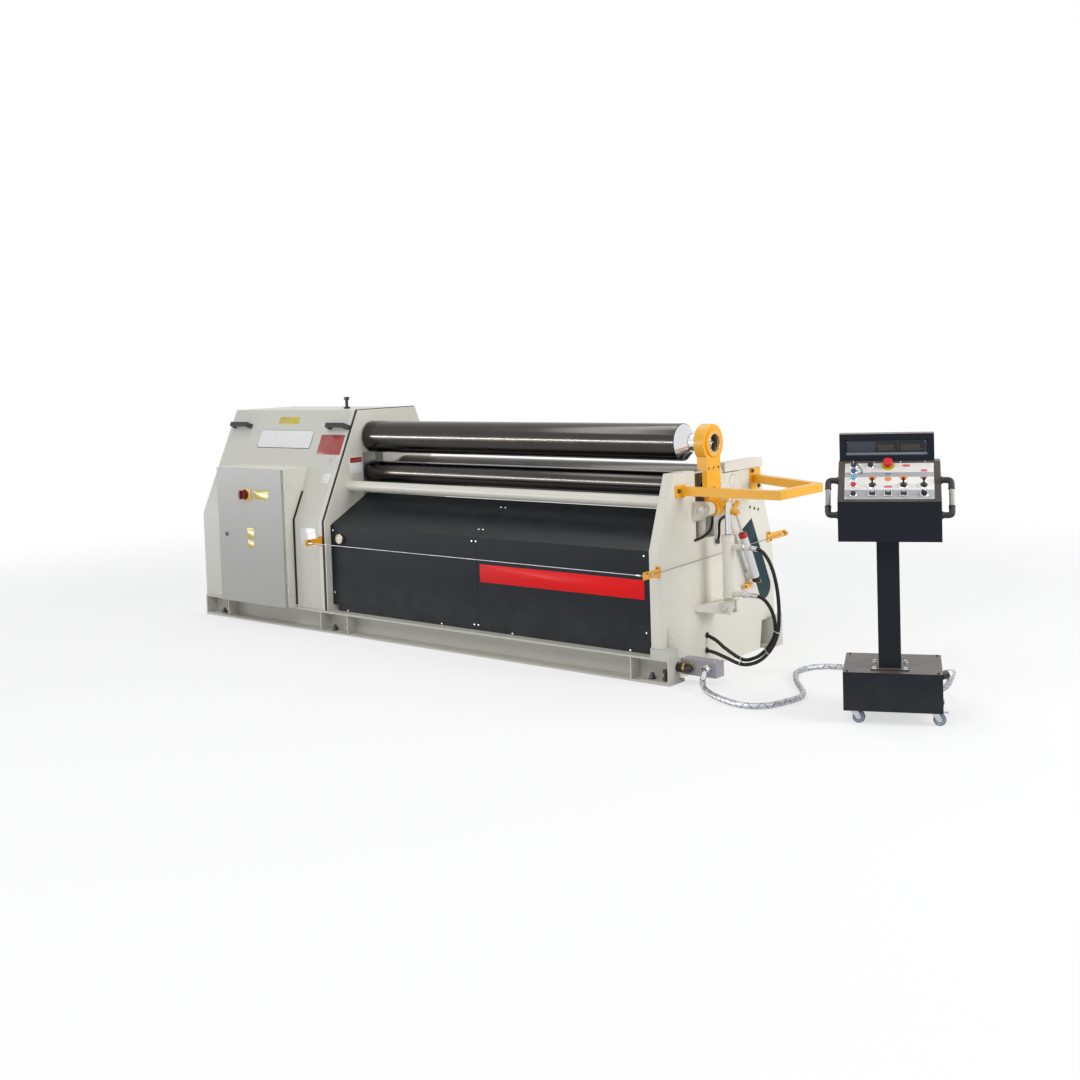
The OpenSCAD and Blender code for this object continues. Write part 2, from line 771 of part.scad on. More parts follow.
/* [Hidden] */
$fn = 72;
half_length = base_length / 2;
half_width = base_width / 2;
rail_inner_y = half_width - rail_flange_width;
drive_frame_outer_x = drive_frame_inner_x - frame_thickness;
drop_frame_outer_x = half_length - drop_frame_margin;
drop_frame_inner_x = drop_frame_outer_x - frame_thickness;
frame_foot_z = rail_height + front_packer_height;
frame_heel_z = rail_height + rear_packer_height;
frame_front_y = -half_width + frame_front_setback;
frame_rear_y = half_width;
heel_y = half_width - heel_inset;
toe_y = half_width - toe_inset;
frame_toe_y = half_width - foot_plate_width;
anchor_x = half_length - anchor_end_inset;
anchor_y = half_width - anchor_side_inset;
anchor_middle_x = drive_frame_inner_x + anchor_middle_offset;
stiffener_positions = [-half_length + stiffener_left_inset, drive_frame_inner_x - stiffener_frame_left,
    drive_frame_inner_x + stiffener_frame_right, drop_frame_inner_x - stiffener_drop_offset];
levelling_positions = [-half_length + levelling_left_inset, anchor_middle_x + levelling_middle_offset,
    half_length - levelling_right_inset];
cross_member_positions = [-half_length, drive_frame_outer_x - cross_member_width - cross_member_gap,
    drop_frame_inner_x - cross_member_width - cross_member_gap];
cap_seat_height = drop_frame_top - cap_seat_drop;
rear_slot_y = half_width - rear_slot_inset;
rear_slot_z = cap_seat_height - rear_slot_drop;
cap_front_y = rear_slot_y - rear_slot_drop * tan(rear_slot_lean) - rear_slot_width / 2 / cos(rear_slot_lean);
cap_rear_y = half_width - cap_rear_inset;
pinch_roll_z = top_roll_z - top_roll_diameter / 2 - roll_opening - pinch_roll_diameter / 2;
rear_roll_y = rear_slot_y - sin(rear_slot_lean) * rear_roll_offset;
rear_roll_z = rear_slot_z + cos(rear_slot_lean) * rear_roll_offset;
roll_barrel_start = drive_frame_inner_x + roll_drive_gap;
roll_barrel_end = drop_frame_inner_x - roll_end_gap;
roll_cone_end = drop_frame_inner_x - roll_cone_gap;
top_nose_end = drop_frame_outer_x + nose_reach;
block_top_z = pinch_roll_z + pinch_block_top;
block_bottom_z = block_top_z - pinch_block_height;
pinch_slot_bottom = block_bottom_z - pinch_slot_depth;
pinch_window_top = block_top_z + pinch_window_headroom;
drive_block_x = drive_frame_outer_x + block_side_gap;
drop_block_x = drop_frame_inner_x + block_side_gap;
block_thickness = frame_thickness - block_side_gap;
rear_block_cut = cap_seat_height - rear_block_top_gap;
hinge_x = drop_frame_outer_x + hinge_reach;
hinge_z = top_roll_z - hinge_drop;
eye_inner_x = drop_frame_outer_x + eye_side_gap;
top_nose_start = eye_inner_x + nose_start_depth;
eye_outer_x = drop_frame_outer_x + eye_reach;
stem_shoulder_z = hinge_z + stem_shoulder_rise;
rod_x = hinge_x + lever_length * cos(lever_angle);
rod_z = hinge_z + lever_length * sin(lever_angle);
barrel_front_y = top_roll_y - hinge_barrel_width / 2;
barrel_rear_y = top_roll_y + hinge_barrel_width / 2;
front_lug_y = barrel_front_y - hinge_side_gap - front_lug_width;
rear_lug_y = barrel_rear_y + hinge_side_gap;
lever_cheek_y = rod_eye_thickness / 2 + lever_gap;
drop_cylinder_top = rod_z - drop_cylinder_gap;
drop_cylinder_bottom = drop_cylinder_top - drop_cylinder_length;
clevis_z = drop_cylinder_bottom - clevis_drop;
upper_port_z = drop_cylinder_top - upper_port_drop;
lower_port_z = drop_cylinder_bottom + lower_port_rise;
guard_z = drop_frame_top - guard_drop;
guard_outer_x = drop_frame_outer_x + guard_reach;
guard_front_y = -half_width + guard_front_inset;
guard_corner_y = guard_front_y + guard_corner_offset;
guard_rear_y = half_width - guard_rear_inset;
front_tie_y = top_roll_y - front_tie_offset;
rear_tie_y = half_width - rear_tie_inset;
housing_left_x = -half_length - housing_overhang;
housing_front_y = -half_width + housing_setback;
housing_rear_y = half_width - housing_setback;
housing_roof_front_y = housing_front_y + housing_front_lean;
housing_roof_rear_y = housing_rear_y - housing_rear_lean;
housing_mid_x = (housing_left_x + drive_frame_inner_x) / 2;
roof_slope = housing_front_lean / (housing_top_z - housing_fold_z);
front_lean_angle = atan(roof_slope);
rear_lean_angle = atan(housing_rear_lean / (housing_top_z - housing_rear_fold_z));
frame_seal_x = drive_frame_inner_x - frame_seal_inset;
stop_bolt_x = drive_frame_inner_x - stop_bolt_offset;
cabinet_left_x = housing_left_x + cabinet_left_inset;
cabinet_right_x = drive_frame_outer_x - cabinet_right_inset;
cabinet_front_y = housing_front_y - cabinet_depth;
switch_x = cabinet_left_x + switch_inset;
switch_z = cabinet_top_z - switch_drop;
cover_front_y = -half_width + cover_setback;
cover_top_y = cover_front_y + cover_lean;
cover_joint_x = (drive_frame_inner_x + drop_frame_inner_x) / 2;
rear_cover_y = half_width - rear_cover_setback;
gauge_x = drive_frame_inner_x + gauge_inset;
trip_left_tip = [drive_frame_inner_x - trip_left_offset, housing_front_y - trip_left_reach, trip_left_z];
trip_wire_x = drop_frame_outer_x + trip_wire_standoff;
trip_front_tip = [trip_wire_x, frame_front_y - trip_front_reach, trip_front_z];
trip_rear_tip = [trip_wire_x, frame_rear_y + trip_rear_reach, trip_rear_z];
sensor_x = drop_frame_outer_x + sensor_reach;
junction_front_y = -half_width + junction_setback;
display_left = -console_width / 2 + display_inset;
panel_rise = (console_rear_z - console_front_z) / (display_front - console_front);
panel_tilt = atan(panel_rise);
caster_head_top = desk_foot_bottom - caster_head_gap;
wheel_radius = caster_wheel_diameter / 2;
fork_half = caster_wheel_width / 2 + caster_side_gap;
caster_places = [[-caster_offset_x, caster_front], [caster_offset_x, caster_front],
    [-caster_offset_x, caster_rear], [caster_offset_x, caster_rear]];
gland_reach = [desk_foot_width / 2 + cos(gland_angle) * gland_length,
    gland_setback + sin(gland_angle) * gland_length];
conduit_end = [desk_x + cos(desk_turn) * gland_reach[0] - sin(desk_turn) * gland_reach[1],
    desk_y + sin(desk_turn) * gland_reach[0] + cos(desk_turn) * gland_reach[1], gland_z];
upper_hose_route = [[1885,-115,588],[1930,-116,584],[1965,-118,562],[1998,-120,510],[2020,-122,440],
    [2032,-124,362],[2034,-125,286],[2026,-125,212],[2000,-125,148],[1955,-125,92],[1900,-125,56],
    [1830,-125,42],[1740,-126,66],[1690,-127,80],[1645,-127,86]];
lower_hose_route = [[1885,-115,368],[1925,-115,366],[1958,-115,350],[1988,-115,312],[2005,-115,262],
    [2006,-115,208],[1984,-115,158],[1942,-115,108],[1893,-116,76],[1832,-118,64],[1745,-121,105],
    [1695,-123,139],[1645,-123,158]];
conduit_route = [[1835,-420,84],[1836,-438,82],[1840,-462,64],[1849,-489,38],[1876,-519,19],
    [1925,-556,14],[1995,-603,14],[2082,-642,14],[2150,-655,14],[2203,-642,14],[2245,-600,14],
    [2266,-545,14],[2290,-433,14],[2275,-360,14],[2240,-304,14],[2154,-191,14],[2110,-120,14],
    [2070,-40,14],[2064,40,14],[2090,110,14],[2150,158,14],[2230,172,14],[2330,150,14],
    [2460,100,14],[2600,50,14],[2700,18,18],[2764,-36,34],[2812,-101,70],[2853,-170,112],
    [2890,-241,150],[2919,-305,177],[2931,-343,187],[2935,-371,190],conduit_end];

// ---------- helpers ----------

module yz_plate(x0, thickness) {
    translate([x0, 0, 0]) rotate([90, 0, 90]) linear_extrude(thickness) children();
}

module xz_plate(y0, thickness) {
    translate([0, y0 + thickness, 0]) rotate([90, 0, 0]) linear_extrude(thickness) children();
}

module x_cone(x0, length, r1, r2, y, z) {
    translate([x0, y, z]) rotate([0, 90, 0]) cylinder(h = length, r1 = r1, r2 = r2);
}

module x_rod(x0, length, r, y, z) {
    translate([x0, y, z]) rotate([0, 90, 0]) cylinder(h = length, r = r);
}

module y_rod(y0, length, r, x, z) {
    translate([x, y0, z]) rotate([-90, 0, 0]) cylinder(h = length, r = r);
}

module box(lo, hi) {
    translate(lo) cube(hi - lo);
}

module front_and_rear() {
    children();
    mirror([0, 1, 0]) children();
}

// Places 2D shapes in the leaning frame of the rear slot, its upward direction along local Y.
module in_rear_slot() {
    translate([rear_slot_y, rear_slot_z]) rotate(rear_slot_lean) children();
}

module on_housing_slope(x, z) {
    translate([x, housing_front_y + (z - housing_fold_z) * roof_slope, z])
        rotate([90 - front_lean_angle, 0, 0]) children();
}

module at_desk() {
    translate([desk_x, desk_y, 0]) rotate([0, 0, desk_turn]) children();
}

// Local frame on the console panel: X across, Y up the slope, Z out of the panel.
module on_panel(x, along) {
    translate([x, console_front, console_front_z]) rotate([panel_tilt, 0, 0])
        translate([0, along, 0]) children();
}

// Tube along a smooth curve through route points, rings every step of the spline.
function spline(p, i, t) =
    let (a = p[max(i - 1, 0)], b = p[i], c = p[i + 1], d = p[min(i + 2, len(p) - 1)])
    0.5 * (2 * b + (c - a) * t + (2 * a - 5 * b + 4 * c - d) * t * t
        + (3 * b - a - 3 * c + d) * t * t * t);
function curve(p, steps) = [for (i = [0 : len(p) - 2]) for (s = [0 : steps - 1]) spline(p, i, s / steps),
    p[len(p) - 1]];
function unit(v) = v / norm(v);
function tangents(c) = [for (i = [0 : len(c) - 1])
    unit(c[min(i + 1, len(c) - 1)] - c[max(i - 1, 0)])];
function carried(side, t) = unit(side - (side * t) * t);
function sides(t, i, s) = i >= len(t) ? [] :
    let (n = carried(s, t[i])) concat([n], sides(t, i + 1, n));
module swept_tube(route, r, steps, count, side, first, last) {
    c = curve(route, steps);
    t0 = tangents(c);
    t = [for (i = [0 : len(c) - 1]) i == 0 ? first : i == len(c) - 1 ? last : t0[i]];
    n = sides(t, 0, side);
    rings = [for (i = [0 : len(c) - 1]) for (k = [0 : count - 1])
        c[i] + r * (cos(360 * k / count) * n[i] + sin(360 * k / count) * cross(t[i], n[i]))];
    m = len(c);
    faces = concat([[for (k = [count - 1 : -1 : 0]) k]],
        [for (i = [0 : m - 2]) for (k = [0 : count - 1])
            [i * count + k, i * count + (k + 1) % count,
             (i + 1) * count + (k + 1) % count, (i + 1) * count + k]],
        [[for (k = [0 : count - 1]) (m - 1) * count + k]]);
    polyhedron(points = rings, faces = [for (f = faces) [for (j = [len(f) - 1 : -1 : 0]) f[j]]],
        convexity = 12);
}

// ---------- base ----------

module base_rail(packer) {
    difference() {
        union() {
            box([-half_length, -half_width, 0], [half_length, -rail_inner_y, rail_flange_thickness]);
            box([-half_length, -half_width, rail_height - rail_flange_thickness],
                [half_length, -rail_inner_y, rail_height]);
            box([-half_length, -rail_inner_y - rail_web_thickness, 0],
                [half_length, -rail_inner_y, rail_height]);
            box([-half_length, -half_width, 0],
                [-half_length + end_plate_thickness, -rail_inner_y, rail_height]);
            box([half_length - end_plate_thickness, -half_width, 0],
                [half_length, -rail_inner_y, end_plate_height]);
            for (x = stiffener_positions)
                box([x - stiffener_thickness / 2, -half_width, 0],
                    [x + stiffener_thickness / 2, -rail_inner_y, rail_height]);
            for (x = [-half_length, half_length - foot_plate_length])
                box([x, -half_width, 0],
                    [x + foot_plate_length, -half_width + foot_plate_width, foot_plate_thickness]);
            box([drop_frame_inner_x, -half_width, rail_height],
                [half_length - end_plate_thickness, -rail_inner_y, rail_height + packer]);
        }
        for (x = [-anchor_x, anchor_middle_x, anchor_x])
            translate([x, -anchor_y, -1]) cylinder(h = foot_plate_thickness + 2,
                d = anchor_hole_diameter);
        for (x = levelling_positions)
            translate([x, -anchor_y, -1]) cylinder(h = foot_plate_thickness + 2,
                d = levelling_bolt_diameter + 2 * levelling_hole_gap);
    }
}

module base_rails() {
    color([0.79, 0.79, 0.74]) {
        base_rail(front_packer_height);
        mirror([0, 1, 0]) base_rail(rear_packer_height);
    }
}

module base_cross_members() {
    top = foot_plate_thickness + cross_member_height;
    color([0.79, 0.79, 0.74]) for (x = cross_member_positions) difference() {
        box([x, -rail_inner_y, foot_plate_thickness], [x + cross_member_width, rail_inner_y, top]);
        box([x + cross_member_wall, -rail_inner_y - 1, foot_plate_thickness + cross_member_wall],
            [x + cross_member_width - cross_member_wall, rail_inner_y + 1, top - cross_member_wall]);
    }
}

module levelling_bolt(x, seat) {
    translate([x, -anchor_y, 0]) {
        cylinder(h = levelling_bolt_length, d = levelling_bolt_diameter);
        translate([0, 0, seat]) cylinder(h = levelling_nut_height, d = levelling_nut_corners, $fn = 6);
        translate([0, 0, levelling_bolt_length - levelling_nut_height])
            cylinder(h = levelling_nut_height, d = levelling_nut_corners, $fn = 6);
    }
}

module levelling_bolts() {
    color([0.15, 0.15, 0.15]) front_and_rear() {
        levelling_bolt(levelling_positions[0], rail_flange_thickness);
        levelling_bolt(levelling_positions[1], rail_flange_thickness);
        levelling_bolt(levelling_positions[2], foot_plate_thickness);
    }
}

// ---------- side frames ----------

module rear_slot_2d() {
    in_rear_slot() {
        translate([0, -rear_slot_depth]) circle(d = rear_slot_width);
        translate([-rear_slot_width / 2, -rear_slot_depth])
            square([rear_slot_width, rear_slot_depth + 2 * drop_frame_top]);
    }
}

module drop_side_frame() {
    color([0.87, 0.86, 0.8]) {
        yz_plate(drop_frame_inner_x, frame_thickness) difference() {
            polygon([[-frame_toe_y, 0], [-frame_toe_y, foot_plate_thickness],
                [-rail_inner_y, foot_plate_thickness], [-rail_inner_y, frame_foot_z],
                [frame_front_y, frame_foot_z],
                [frame_front_y, frame_fold_z], [frame_front_y + frame_lean, drop_frame_top],
                [cap_front_y, drop_frame_top], [cap_front_y, cap_seat_height],
                [cap_rear_y, cap_seat_height], [half_width - frame_upper_inset, frame_upper_z],
                [half_width - frame_middle_inset, frame_middle_z], [frame_rear_y, frame_lower_z],
                [frame_rear_y, frame_heel_z], [heel_y, frame_heel_z], [toe_y, 0]]);
            translate([top_roll_y - pinch_slot_width / 2, pinch_slot_bottom])
                square([pinch_slot_width, drop_frame_top]);
            rear_slot_2d();
        }
        xz_plate(-rail_inner_y - gusset_setback, gusset_thickness)
            polygon([[drop_frame_outer_x, frame_foot_z], [drop_frame_outer_x, frame_foot_z + gusset_height],
                [drop_frame_outer_x + gusset_reach, frame_foot_z + gusset_edge_height],
                [drop_frame_outer_x + gusset_reach, frame_foot_z]]);
    }
}

// Outline of the housing, moved outwards by g on every face.
function housing_profile(g) = [[housing_front_y - g, rail_height],
    [housing_front_y - g, housing_fold_z + g * tan(front_lean_angle / 2)],
    [housing_roof_front_y - g * tan(45 - front_lean_angle / 2), housing_top_z + g],
    [housing_roof_rear_y + g * tan(45 - rear_lean_angle / 2), housing_top_z + g],
    [housing_rear_y + g, housing_rear_fold_z + g * tan(rear_lean_angle / 2)],
    [housing_rear_y + g, rail_height]];

module drive_side_frame() {
    color([0.87, 0.86, 0.8]) difference() {
        union() {
            yz_plate(drive_frame_outer_x, frame_thickness) polygon(housing_profile(0));
            yz_plate(drive_frame_outer_x, frame_thickness)
                polygon([[-rail_inner_y, 0], [-rail_inner_y, rail_height], [heel_y, rail_height], [toe_y, 0]]);
        }
        yz_plate(drive_frame_outer_x - 1, frame_thickness + 2)
            translate([top_roll_y - pinch_slot_width / 2, pinch_slot_bottom])
            square([pinch_slot_width, pinch_window_top - pinch_slot_bottom]);
        yz_plate(drive_frame_outer_x - 1, frame_thickness + 2) intersection() {
            rear_slot_2d();
            square([base_width, cap_seat_height]);
        }
        x_rod(drive_frame_outer_x - 1, frame_thickness + 2, top_journal_diameter / 2 + bearing_gap,
            top_roll_y, top_roll_z);
    }
}

module slot_cap() {
    color([0.87, 0.86, 0.8]) box([drop_frame_inner_x, cap_front_y, cap_seat_height],
        [drop_frame_outer_x + cap_overhang, cap_rear_y, cap_seat_height + cap_height]);
}

module tie_bars() {
    color([0.87, 0.86, 0.8]) {
        x_rod(drive_frame_inner_x, drop_frame_inner_x - drive_frame_inner_x, tie_bar_diameter / 2,
            front_tie_y, front_tie_z);
        x_rod(drive_frame_inner_x, drop_frame_inner_x - drive_frame_inner_x, tie_bar_diameter / 2,
            rear_tie_y, rear_tie_z);
    }
}

// ---------- drive housing ----------

module drive_housing() {
    color([0.8, 0.8, 0.76]) yz_plate(housing_left_x, drive_frame_outer_x - housing_left_x)
        polygon(housing_profile(0));
}

module housing_seals() {
    seam_top_y = housing_front_y + (seam_top_z - housing_fold_z) * roof_slope;
    seam_bottom_z = rail_height + seam_bottom_gap;
    color([0.05, 0.05, 0.05]) {
        yz_plate(frame_seal_x, seal_width) difference() {
            polygon(housing_profile(seal_proud));
            polygon(housing_profile(0));
        }
        yz_plate(cabinet_right_x, seal_width)
            polygon([[housing_front_y, seam_bottom_z], [housing_front_y - seal_proud, seam_bottom_z],
                [housing_front_y - seal_proud, housing_fold_z], [seam_top_y - seal_proud, seam_top_z],
                [seam_top_y, seam_top_z], [housing_front_y, housing_fold_z]]);
    }
}

module lift_handle() {
    half = handle_length / 2;
    foot = half - handle_foot;
    xz_plate(-handle_width / 2, handle_width) difference() {
        polygon([[-half, 0], [-half + handle_slope, handle_height], [half - handle_slope, handle_height],
            [half, 0]]);
        polygon([[-foot, -1], [-foot + handle_slope / 2, handle_height - handle_grip],
            [foot - handle_slope / 2, handle_height - handle_grip], [foot, -1]]);
    }
}

module housing_fittings() {
    color([0.06, 0.06, 0.06]) {
        for (s = [-1, 1]) on_housing_slope(housing_mid_x + s * handle_offset, handle_z) lift_handle();
        translate([stop_bolt_x, stop_bolt_y, housing_top_z]) {
            cylinder(h = stop_bolt_flange_height, d = stop_bolt_flange);
            cylinder(h = stop_bolt_height, d = stop_bolt_diameter);
            translate([0, 0, stop_bolt_height - stop_bolt_head_height])
                cylinder(h = stop_bolt_head_height, d = stop_bolt_head, $fn = 6);
        }
    }
}

// ---------- electric cabinet ----------

module cabinet_profile() {
    front = cabinet_front_y + door_thickness;
    top_back = housing_front_y + (cabinet_top_z - housing_fold_z) * roof_slope;
    polygon([[front, rail_height], [housing_front_y, rail_height], [housing_front_y, housing_fold_z],
        [top_back, cabinet_top_z], [front, cabinet_top_z]]);
}

module electric_cabinet() {
    front = cabinet_front_y + door_thickness;
    hinge_places = [rail_height + door_hinge_inset, cabinet_top_z - door_hinge_inset - door_hinge_length];
    color([0.87, 0.86, 0.8]) {
        difference() {
            yz_plate(cabinet_left_x, cabinet_right_x - cabinet_left_x) cabinet_profile();
            box([cabinet_left_x + cabinet_rim, front - 1, rail_height + cabinet_rim],
                [cabinet_right_x - cabinet_rim, housing_front_y - cabinet_wall, cabinet_top_z - cabinet_rim]);
        }
        for (z = hinge_places) {
            translate([cabinet_right_x + door_hinge_radius, front, z])
                cylinder(h = door_hinge_length, r = door_hinge_radius);
            box([cabinet_right_x, front, z],
                [cabinet_right_x + door_hinge_radius, front + door_hinge_leaf, z + door_hinge_length]);
        }
    }
}

module cabinet_door() {
    color([0.65, 0.65, 0.63]) difference() {
        union() {
            box([cabinet_left_x + door_gap, cabinet_front_y, rail_height + door_gap],
                [cabinet_right_x - door_gap, cabinet_front_y + door_thickness - door_back_gap,
                 cabinet_top_z - door_gap]);
            y_rod(cabinet_front_y - door_lock_proud, door_lock_proud + 1, door_lock_diameter / 2,
                cabinet_left_x + door_lock_inset, door_lock_z);
        }
        y_rod(cabinet_front_y - 1, door_thickness + 2, switch_shaft_diameter / 2 + switch_shaft_gap,
            switch_x, switch_z);
    }
}

module main_switch() {
    knob_front = cabinet_front_y - switch_height;
    color([0.6, 0.1, 0.1]) {
        y_rod(knob_front, switch_height - 1, switch_diameter / 2, switch_x, switch_z);
        y_rod(cabinet_front_y - 2, door_thickness + cabinet_rim / 2, switch_shaft_diameter / 2,
            switch_x, switch_z);
        box([switch_x - switch_grip_width / 2, knob_front - switch_grip_height, switch_z - switch_diameter / 2],
            [switch_x + switch_grip_width / 2, knob_front + 1, switch_z + switch_diameter / 2]);
    }
}

// ---------- covers and gauge ----------

module front_cover_2d() {
    y = cover_front_y;
    polygon([[y, rail_height], [y, cover_fold_z], [cover_top_y, cover_top_z],
        [cover_top_y, cover_top_z - cover_sheet], [y + cover_sheet, cover_fold_z - cover_sheet / 2],
        [y + cover_sheet, rail_height]]);
}

module front_cover_halves() {
    difference() {
        union() {
            yz_plate(drive_frame_inner_x, cover_joint_x - drive_frame_inner_x) front_cover_2d();
            yz_plate(cover_joint_x + cover_joint_gap, drop_frame_inner_x - cover_joint_x - cover_joint_gap)
                front_cover_2d();
        }
        for (x = [drive_frame_inner_x - 1, drop_frame_inner_x - cover_notch_width])
            box([x, cover_front_y - 1, rail_height - 1],
                [x + cover_notch_width + 1, cover_front_y + cover_sheet + 1,
                 rail_height + cover_notch_height]);
    }
}

module rear_cover() {
    y = rear_cover_y;
    top_y = y - rear_cover_lean;
    side = rear_cylinder_depth + rear_cover_side_gap;
    yz_plate(drive_frame_inner_x + side, drop_frame_inner_x - drive_frame_inner_x - 2 * side)
        polygon([[y, rail_height], [y, rear_cover_fold_z], [top_y, rear_cover_top_z],
            [top_y, rear_cover_top_z - cover_sheet], [y - cover_sheet, rear_cover_fold_z - cover_sheet / 2],
            [y - cover_sheet, rail_height]]);
}

module covers() {
    color([0.16, 0.18, 0.2]) {
        front_cover_halves();
        rear_cover();
    }
}

module pressure_gauge() {
    color([0.8, 0.75, 0.65]) {
        y_rod(cover_front_y - gauge_depth, gauge_depth, gauge_diameter / 2, gauge_x, gauge_z);
        y_rod(cover_front_y - gauge_depth - gauge_glass, gauge_glass + 1, gauge_diameter / 2 - gauge_rim,
            gauge_x, gauge_z);
    }
}

// ---------- rolls, blocks and rams ----------

module roll_body(d, cone_end, end_diameter, y, z) {
    x_rod(roll_barrel_start, roll_barrel_end - roll_barrel_start, d / 2, y, z);
    x_cone(roll_barrel_end, cone_end - roll_barrel_end, d / 2 - roll_cone_step, end_diameter / 2, y, z);
}

module top_roll() {
    r = top_journal_diameter / 2;
    start = drive_frame_outer_x + journal_inset;
    color([0.6, 0.6, 0.6]) {
        roll_body(top_roll_diameter, roll_cone_end, roll_cone_end_diameter, top_roll_y, top_roll_z);
        x_rod(start, roll_barrel_start - start + 1, r, top_roll_y, top_roll_z);
        x_rod(roll_barrel_end, top_nose_start - roll_barrel_end, r, top_roll_y, top_roll_z);
        x_cone(top_nose_start, top_nose_end - top_nose_start, r, top_nose_diameter / 2,
            top_roll_y, top_roll_z);
    }
}

module lower_roll(d, y, z) {
    start = drive_block_x + journal_inset / 2;
    roll_body(d, roll_cone_end, lower_journal_diameter + 2 * lower_cone_step, y, z);
    x_rod(start, drop_frame_outer_x - journal_inset / 2 - start, lower_journal_diameter / 2, y, z);
}

module pinch_roll() {
    color([0.6, 0.6, 0.6]) lower_roll(pinch_roll_diameter, top_roll_y, pinch_roll_z);
}

module rear_roll() {
    color([0.6, 0.6, 0.6]) lower_roll(rear_roll_diameter, rear_roll_y, rear_roll_z);
}

module pinch_block(x) {
    difference() {
        box([x, top_roll_y - pinch_slot_width / 2 + slot_clearance, block_bottom_z],
            [x + block_thickness, top_roll_y + pinch_slot_width / 2 - slot_clearance, block_top_z]);
        x_rod(x - 1, block_thickness + 2, lower_journal_diameter / 2 + bearing_gap,
            top_roll_y, pinch_roll_z);
    }
    translate([x + block_thickness / 2, top_roll_y, block_bottom_z - ram_length])
        cylinder(h = ram_length + 1, d = ram_diameter);
}

module pinch_roll_blocks() {
    color([0.55, 0.56, 0.55]) {
        pinch_block(drive_block_x);
        pinch_block(drop_block_x);
    }
}

module pinch_cylinder(x) {
    translate([x, top_roll_y, pinch_slot_bottom]) difference() {
        cylinder(h = ram_cylinder_height, d = ram_cylinder_diameter);
        translate([0, 0, ram_cylinder_floor]) cylinder(h = ram_cylinder_height, d = ram_diameter + 2);
    }
}

module rear_block(x) {
    difference() {
        yz_plate(x, block_thickness) intersection() {
            in_rear_slot() translate([-rear_slot_width / 2 + slot_clearance, 0])
                square([rear_slot_width - 2 * slot_clearance, base_width]);
            square([base_width, rear_block_cut]);
        }
        x_rod(x - 1, block_thickness + 2, lower_journal_diameter / 2 + bearing_gap,
            rear_roll_y, rear_roll_z);
    }
}

module rear_roll_blocks() {
    color([0.75, 0.75, 0.7]) {
        rear_block(drive_block_x);
        rear_block(drop_block_x);
    }
}

module rear_cylinder_2d() {
    d = rear_slot_width + 2 * rear_cylinder_lap;
    in_rear_slot() {
        translate([0, -rear_slot_depth]) circle(d = d);
        translate([-d / 2, -rear_slot_depth]) square([d, rear_slot_depth - rear_cylinder_gap]);
    }
}

module rear_cylinder_face_2d() {
    d = rear_slot_width - 2 * slot_clearance;
    in_rear_slot() {
        translate([0, -rear_slot_depth]) circle(d = d);
        translate([-d / 2, -rear_slot_depth]) square([d, rear_slot_depth - rear_block_sink]);
    }
}

module roll_cylinders() {
    color([0.07, 0.2, 0.23]) {
        pinch_cylinder(drive_block_x + block_thickness / 2);
        pinch_cylinder(drop_block_x + block_thickness / 2);
        yz_plate(drop_frame_inner_x - 1, frame_thickness - rear_cylinder_inset + 1)
            rear_cylinder_face_2d();
        yz_plate(drop_frame_inner_x - rear_cylinder_depth, rear_cylinder_depth) rear_cylinder_2d();
        yz_plate(drive_frame_inner_x, rear_cylinder_depth) rear_cylinder_2d();
    }
}

// ---------- drop end ----------

module hinge_lug(y, width) {
    xz_plate(y, width) {
        translate([hinge_x, hinge_z]) circle(r = lug_radius);
        polygon([[drop_frame_outer_x, hinge_z - lug_root], [drop_frame_outer_x, hinge_z + lug_radius],
            [hinge_x, hinge_z + lug_radius], [hinge_x, hinge_z - lug_radius]]);
    }
}

module drop_end_brackets() {
    color([0.87, 0.86, 0.8]) {
        cylinder_bracket();
        hinge_lug(front_lug_y, front_lug_width);
        hinge_lug(rear_lug_y, rear_lug_width);
        y_rod(front_lug_y - hinge_pin_proud,
            rear_lug_y + rear_lug_width - front_lug_y + 2 * hinge_pin_proud, hinge_pin_diameter / 2,
            hinge_x, hinge_z);
    }
}

